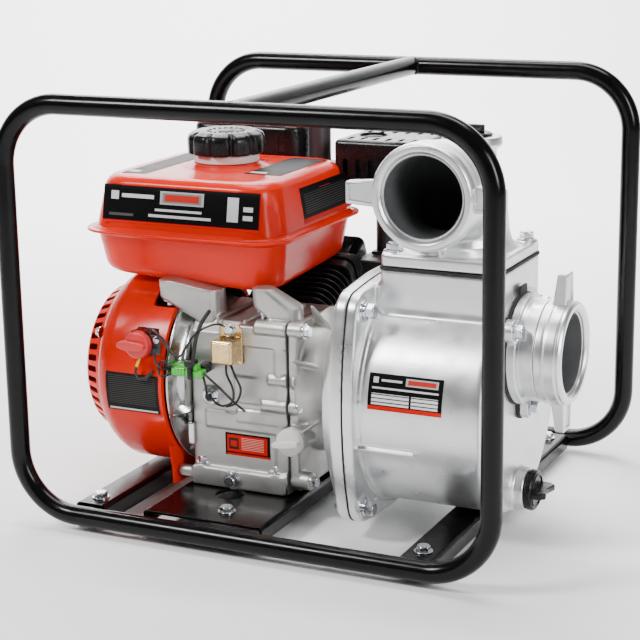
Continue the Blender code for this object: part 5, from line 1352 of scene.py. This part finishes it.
def lug_outline(grow, tab_half=0.0, tab_reach=0.0, count=180):
    """A circle about the inlet with three round lugs, and a straight tab at its top if tab_half is set."""
    outline = []
    for step in range(count):
        turn = 2 * math.pi * step / count
        reach = 0.054 + grow
        for angle in LUG_ANGLES:
            off = turn - math.radians(angle)
            side = LUG_R * math.sin(off)
            if math.cos(off) > 0 and abs(side) < LUG_END_R + grow:
                reach = max(reach, LUG_R * math.cos(off) + math.sqrt((LUG_END_R + grow) ** 2 - side**2))
        lean = abs(turn - math.pi / 2)
        if tab_half and tab_reach * math.tan(min(lean, 1.2)) < tab_half:
            reach = max(reach, tab_reach / math.cos(lean))
        outline.append((SHAFT_Y + reach * math.cos(turn), INLET_Z + reach * math.sin(turn)))
    return outline


drum = turned("drum", puck(PUMP_R, PUMP_X1, PUMP_X0 + 0.002), *PUMP_LINE, steps=160, soft=0.007, count=6)
tower = loft("tower", [
    [(x, y, z) for x, y in round_rect(x0, y0, BOX_X1, y1, 0.007, count=8)]
    for z, x0, y0, y1 in (
        (0.15, PUMP_X0 + 0.004, BOX_Y0 - 0.014, BOX_Y1 + 0.014),
        (0.2, PUMP_X0 + 0.004, BOX_Y0 - 0.006, BOX_Y1 + 0.006), (0.23, PUMP_X0 + 0.006, BOX_Y0, BOX_Y1),
        (0.25, BOX_X0 - 0.004, BOX_Y0, BOX_Y1), (0.256, BOX_X0, BOX_Y0, BOX_Y1),
        (TOP_FLANGE_Z, BOX_X0, BOX_Y0, BOX_Y1),
    )
])
shapes = [
    slab("flange", FLANGE, "x", PUMP_X0, PUMP_X0 + 0.0105, edge=0.0012), drum, tower,
    slab("inlet_seat", lug_outline(0.0005), "x", 0.2, PUMP_X1 + 0.0001, edge=0.0006),
    turned("drain_boss", [
        (0, 0.2218), (0.0215, 0.2218), (0.0222, 0.206), (0.024, 0.195), (0, 0.195),
    ], *DRAIN_LINE, soft=0.0015),
    turned("ledge", [
        (0.1, 0.09), (PUMP_R + 0.0022, 0.09), (PUMP_R + 0.0022, 0.085), (0.1, 0.085),
    ], *PUMP_LINE, steps=128, soft=0.001),
]
for y, z in FLANGE_BOLTS:
    shapes.append(rod("bolt_pad", (PUMP_X0 + 0.009, y, z), (PUMP_X0 + 0.012, y, z), 0.0118))
shapes.append(box(
    "parting_line", (PUMP_X0 + 0.01, SHAFT_Y - PUMP_R - 0.0006, 0.1005),
    (PUMP_X0 + 0.07, SHAFT_Y - PUMP_R + 0.01, 0.1025), edge=0.0004,
))
casing = casting("casing", shapes, BRIGHT, 0.0013, 4, 0.38)
WALL = 0.006
for hollow in (
    rod("mouth", (0.19, SHAFT_Y, INLET_Z), (0.23, SHAFT_Y, INLET_Z), 0.045, sides=96),
    rod(
        "drum_hollow", (PUMP_X0 - 0.01, SHAFT_Y, SHAFT_Z), (PUMP_X1 - WALL, SHAFT_Y, SHAFT_Z), PUMP_R - WALL,
        sides=96,
    ),
    box(
        "tower_hollow", (BOX_X0 + WALL, BOX_Y0 + WALL, 0.18),
        (BOX_X1 - WALL, BOX_Y1 - WALL, TOP_FLANGE_Z - 0.008), edge=0.004,
    ),
    rod("top_opening", (PORT_X, SHAFT_Y, 0.25), (PORT_X, SHAFT_Y, 0.28), PORT_R, sides=96),
    rod("drain_opening", (0.19, SHAFT_Y, DRAIN_Z), (0.23, SHAFT_Y, DRAIN_Z), 0.011, sides=48),
):
    casing = cut(casing, hollow)
parts = [refinish(casing, BRIGHT)]
for y, z in FLANGE_BOLTS:
    seat = PUMP_X0 + 0.0122
    parts.append(
        turned("washer", puck(0.0104, -0.0004, 0.0015), (seat, y, z), RIGHTWARD, ZINC, 48, soft=0.0005),
    )
    parts.append(
        turned("spring", puck(0.0086, 0.0015, 0.004), (seat, y, z), RIGHTWARD, ZINC, 48, soft=0.0006),
    )
    parts += bolt((seat + 0.004, y, z), RIGHTWARD, 0.0128, 0.0076)
put(join("pump_body", *parts), "chassis", "bright_aluminium", "pump_casing")
put(slab(
    "outlet_gasket", round_rect(BOX_X0 - 0.0012, BOX_Y0 - 0.0012, BOX_X1 + 0.0012, BOX_Y1 + 0.0012, 0.0085),
    "z", TOP_FLANGE_Z + 0.0002, TOP_FLANGE_Z + 0.0028, RUBBER, edge=0.0004,
    holes=[circle(PORT_X, SHAFT_Y, PORT_R)[::-1]],
), "chassis", "rubber", "discharge_gasket")

ELBOW_Z, NECK_R, BEND_R, FILL_Y = TOP_FLANGE_Z + 0.003, 0.0447, 0.055, -0.012
FILL_LINE = ((PORT_X, FILL_Y, 0), UPWARD)
ELBOW_BOLTS = [(x, y) for x in (BOX_X0 + 0.0095, BOX_X1 - 0.0095) for y in (BOX_Y0 + 0.015, BOX_Y1 - 0.015)]
BEND = [(PORT_X, y, z) for y, z in arc(SHAFT_Y - BEND_R, OUTLET_Z - BEND_R, BEND_R, 0, 90, 16)]
shapes = [
    slab(
        "foot", round_rect(BOX_X0, BOX_Y0, BOX_X1, BOX_Y1, 0.008), "z", ELBOW_Z, ELBOW_Z + 0.012, edge=0.0015,
    ),
    tube("bend", [(PORT_X, SHAFT_Y, ELBOW_Z + 0.004), *BEND, (PORT_X, -0.118, OUTLET_Z)], 0.0465, sides=96),
    rod("spout", (PORT_X, -0.11, OUTLET_Z), (PORT_X, OUTLET_Y + 0.0053, OUTLET_Z), NECK_R, sides=96),
    turned("fill_boss", [
        (0, 0.3852), (0.029, 0.3852), (0.03, 0.3765), (0.024, 0.372), (0.024, 0.338), (0, 0.338),
    ], *FILL_LINE, soft=0.0015),
    box("front_rib", (PORT_X - 0.002, -0.1, ELBOW_Z + 0.01), (PORT_X + 0.002, -0.07, 0.308), edge=0.001),
    loft("skirt", [
        [
            (x, y, ELBOW_Z + z)
            for x, y in round_rect(
                PORT_X - w, SHAFT_Y - w, PORT_X + w, SHAFT_Y + w, min(w * 0.98, 0.03 + z), count=12,
            )
        ]
        for z, w in ((0.008, 0.056), (0.013, 0.0535), (0.018, 0.049), (0.03, 0.0462))
    ]),
]
for x, y in ELBOW_BOLTS:
    shapes.append(rod("pad", (x, y, ELBOW_Z + 0.01), (x, y, ELBOW_Z + 0.0134), 0.0105))
elbow = casting("elbow", shapes, BRIGHT, 0.0013, 4, 0.38)
bore_line = [(PORT_X, SHAFT_Y, ELBOW_Z - 0.01), *BEND, (PORT_X, -0.17, OUTLET_Z)]
elbow = refinish(cut(elbow, tube("bore", bore_line, PORT_R, sides=96)), BRIGHT)
# A darker grey sheet inside the elbow's bore: painted shade.
shade_sheet = tube("shade_sheet", [
    (PORT_X, SHAFT_Y, ELBOW_Z + 0.0004), *BEND, (PORT_X, OUTLET_Y + 0.0056, OUTLET_Z),
], PORT_R + 0.0003, BORE_SHADE, sides=96)
shade_sheet = refinish(cut(shade_sheet, tube("shade_sheet_bore", bore_line, PORT_R - 0.0007, sides=96)), BORE_SHADE)
parts = [elbow, shade_sheet]
for x, y in ELBOW_BOLTS:
    parts += bolt((x, y, ELBOW_Z + 0.0134), UPWARD, 0.0125, 0.008, 0.0095)
put(join("outlet_elbow", *parts), "chassis", "bright_aluminium", "discharge_elbow")

fill = turned("fill", [
    (0, 0.3885), (0.0175, 0.3885), (0.02, 0.387), (0.02, 0.3858), (0, 0.3858),
], *FILL_LINE, BLACK_PLASTIC, soft=0.0008)
put(join(
    "fill_cap", fill,
    box(
        "wing", (PORT_X - 0.0125, -0.015, 0.388), (PORT_X + 0.0125, -0.009, 0.3963), BLACK_PLASTIC,
        edge=0.0018,
    ),
    rod("stem", (PORT_X, FILL_Y, 0.386), (PORT_X, FILL_Y, 0.3705), 0.0134, BLACK_PLASTIC),
), "fill_plug_body", "black_plastic", "fill_plug")

NUT_PROFILE = rounded([
    (0.0403, -0.003), (0.043, 0.0), (0.0478, 0.0), (0.05, -0.003), (0.0497, -0.005), (0.0508, -0.0068),
    (0.0508, -0.016), (0.0499, -0.0178), (0.0503, -0.02), (0.0503, -0.026), (0.0452, -0.026),
    (0.0452, -0.006), (0.0403, -0.006), (0.0403, -0.003),
], 0.001, 3)


def claw_nut(name, mouth, axis, sideways, body, node):
    """A hose nut with two opposite claws; axis points out of the port and sideways is a claw's direction."""
    parts = [turned("ring", NUT_PROFILE, mouth, axis, BRIGHT, steps=160)]
    axis, sideways = Vector(axis), Vector(sideways)
    across = axis.cross(sideways)
    for side in (-1, 1):
        outline = mirrored([(0.048, -0.0124), (0.0765, -0.0106), (0.0778, -0.0093)])
        rings = []
        for back, shrink in ((1.0, 0.0012), (0.9, 0.0), (0.1, 0.0), (0.0, 0.0012)):
            ring = []
            for r, w in outline:
                depth = -0.0065 - back * (0.0135 if r < 0.06 else 0.01)
                reach = r - shrink if r > 0.06 else r
                step = w - math.copysign(shrink, w)
                ring.append(Vector(mouth) + sideways * side * reach + across * step + axis * depth)
            rings.append(ring)
        claw = loft("claw", rings, BRIGHT)
        work = bmesh.new()
        work.from_mesh(claw.data)
        for face in [f for f in work.faces if len(f.verts) == 6]:
            bmesh.ops.inset_individual(work, faces=[face], thickness=0.0024, depth=0.0)
            bmesh.ops.inset_individual(work, faces=[face], thickness=0.0006, depth=-0.0018)
        work.to_mesh(claw.data)
        work.free()
        claw.data.set_sharp_from_angle(angle=math.radians(40))
        parts.append(claw)
    put(join(name, *parts), body, "bright_aluminium", node)


claw_nut(
    "outlet_claw_nut", (PORT_X, OUTLET_Y, OUTLET_Z), NEARWARD, RIGHTWARD, "discharge_nut_body",
    "discharge_claw_nut",
)
claw_nut(
    "inlet_claw_nut", (INLET_X, SHAFT_Y, INLET_Z), RIGHTWARD, UPWARD, "suction_nut_body", "suction_claw_nut",
)

put(slab(
    "inlet_gasket", lug_outline(0.0012, 0.01, 0.0625), "x", PUMP_X1 + 0.0002, PUMP_X1 + 0.0027, RUBBER,
    edge=0.0004, holes=[circle(SHAFT_Y, INLET_Z, 0.043)[::-1]],
), "chassis", "rubber", "suction_gasket")
SEAT_X = PUMP_X1 + 0.0028
flange = slab(
    "flange", lug_outline(0), "x", SEAT_X, SEAT_X + 0.0088, BRIGHT, edge=0.0012,
    holes=[circle(SHAFT_Y, INLET_Z, PORT_R, 96)[::-1]],
)
INLET_LINE = ((0, SHAFT_Y, INLET_Z), RIGHTWARD)
neck = turned("neck", [
    (PORT_R, SEAT_X + 0.004), (0.052, SEAT_X + 0.004), (0.0506, SEAT_X + 0.0105), (0.0497, SEAT_X + 0.0125),
    (0.0497, INLET_X - 0.0266), (NECK_R, INLET_X - 0.0266), (NECK_R, INLET_X - 0.0053),
    (PORT_R, INLET_X - 0.0053), (PORT_R, SEAT_X + 0.004),
], *INLET_LINE, BRIGHT, steps=128, soft=0.0012, count=3)
# A darker grey sheet inside the inlet's bore: painted shade.
shade_lining = turned("shade_lining", band(PORT_R - 0.0008, PORT_R + 0.0003, SEAT_X, INLET_X - 0.0056),
                *INLET_LINE, BORE_SHADE, steps=96)
parts = [flange, neck, shade_lining]
for angle in LUG_ANGLES:
    t = math.radians(angle)
    place = (SEAT_X + 0.009, SHAFT_Y + LUG_R * math.cos(t), INLET_Z + LUG_R * math.sin(t))
    parts += bolt(place, RIGHTWARD, 0.012, 0.0075, 0.0092)
put(join("inlet_flange", *parts), "chassis", "bright_aluminium", "suction_flange")

DRAIN_CAP_LINE = ((0.222, SHAFT_Y, DRAIN_Z), RIGHTWARD)
plug = turned(
    "plug", [(0, 0.0078), (0.0185, 0.0078), (0.0203, 0.006), (0.0203, 0.0004), (0, 0.0004)], *DRAIN_CAP_LINE,
    BLACK_PLASTIC, soft=0.0015,
)
groove = turned("groove", [
    (0.015, 0.0074), (0.015, 0.0088), (0.0165, 0.0088), (0.0165, 0.0074), (0.015, 0.0074),
], *DRAIN_CAP_LINE, BLACK_PLASTIC, soft=0.0004)
wing = mirrored([(0.2288, -0.02), (0.238, -0.02), (0.2438, -0.015)])
wing.insert(3, (0.24, 0.0))
wing = [(x, y + SHAFT_Y) for x, y in wing]
wing = slab("wing", wing, "z", 0.0398, 0.0462, BLACK_PLASTIC, edge=0.0016)
put(join(
    "drain_cap", plug, groove, wing,
    rod("stem", (0.2224, SHAFT_Y, DRAIN_Z), (0.2075, SHAFT_Y, DRAIN_Z), 0.0104, BLACK_PLASTIC),
), "drain_plug_body", "black_plastic", "drain_plug")

# CAD nodes that stay: their slot's finish and softened edges

replaced = {n for obj in bpy.data.objects if "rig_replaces" in obj for n in obj["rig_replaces"]}
slot_of = {
    part["node"]: part["material_slot"]
    for part in frame["record"]["subparts"] if "material_slot" in part
}
for node, obj in frame["nodes"].items():
    if node in replaced:
        continue
    finish = SLOT_FINISH[slot_of.get(node, "cast_aluminium")]
    for index in range(len(obj.material_slots)):
        obj.material_slots[index].material = finish
    if not obj.material_slots:
        obj.data.materials.append(finish)
    modify(obj, "weld", "WELD", merge_threshold=0.00001)
    modify(
        obj, "edge", "BEVEL", width=0.0007, segments=2, limit_method="ANGLE", angle_limit=math.radians(40),
        harden_normals=False,
    )
    modify(obj, "weighted", "WEIGHTED_NORMAL", keep_sharp=True)

# Floor, light and camera

FLOOR_REACH, FLOOR_Y, SWEEP_R, WALL_TOP = 9.0, 1.6, 0.9, 3.2
sweep_line = [(-FLOOR_REACH, 0.0), (FLOOR_Y, 0.0)]
sweep_line += [
    (FLOOR_Y + SWEEP_R * math.sin(t), SWEEP_R - SWEEP_R * math.cos(t))
    for t in (math.radians(5 * k) for k in range(1, 18))
]
sweep_line += [(FLOOR_Y + SWEEP_R, SWEEP_R), (FLOOR_Y + SWEEP_R, WALL_TOP)]
floor_mesh = bpy.data.meshes.new("floor")
sweep_turn = Matrix.Rotation(math.radians(25), 4, "Z")
points = [tuple(sweep_turn @ Vector((x, y, z))) for y, z in sweep_line for x in (-FLOOR_REACH, FLOOR_REACH)]
floor_mesh.from_pydata(
    points, [], [(2 * k, 2 * k + 1, 2 * k + 3, 2 * k + 2) for k in range(len(sweep_line) - 1)],
)
floor = linked("floor", floor_mesh)
floor_mesh.shade_smooth()
floor_mesh.materials.append(
    surface("floor_paper", (0.93, 0.93, 0.93), 0.8, tone=0.01, bumps=((400, 0.05, 0.0002),)),
)

world = bpy.data.worlds.new("studio")
bpy.context.scene.world = world
world.use_nodes = True
preset(world.node_tree.nodes["Background"], {"Color": (0.96, 0.97, 1.0, 1), "Strength": 0.13})


def softbox(name, place, aim, size, power):
    data = bpy.data.lights.new(name, "AREA")
    data.shape = "RECTANGLE"
    data.size, data.size_y = size
    data.energy = power
    lamp = linked(name, data)
    lamp.location = place
    lamp.rotation_mode = "QUATERNION"
    lamp.rotation_quaternion = (Vector(aim) - Vector(place)).to_track_quat("-Z", "Y")


softbox("key", (-1.3, -1.7, 2.1), (0, 0, 0.2), (0.7, 0.5), 66)
softbox("fill", (1.9, -0.9, 1.0), (0, 0, 0.2), (0.5, 1.0), 34)
softbox("top", (0.0, 0.2, 1.9), (0, 0, 0.2), (1.5, 0.6), 30)
softbox("back", (-0.9, 1.2, 2.2), (-1.1, 2.4, 0.9), (1.6, 0.6), 200)

AZ, EL, ROLL = math.radians(25.394), math.radians(14.14), -0.0147
ahead = Vector((-math.sin(AZ) * math.cos(EL), math.cos(AZ) * math.cos(EL), -math.sin(EL)))
level = ahead.cross(Vector(UPWARD)).normalized()
rise = level.cross(ahead)
right = level * math.cos(ROLL) + rise * math.sin(ROLL)
up = rise * math.cos(ROLL) - level * math.sin(ROLL)
camera_data = bpy.data.cameras.new("camera")
camera_data.lens, camera_data.sensor_width = 97.84, 36
camera = linked("camera", camera_data)
turn = Matrix((right, up, -ahead)).transposed().to_4x4()
camera.matrix_world = Matrix.Translation((0.7314, -1.5869, 0.6247)) @ turn
bpy.context.scene.camera = camera
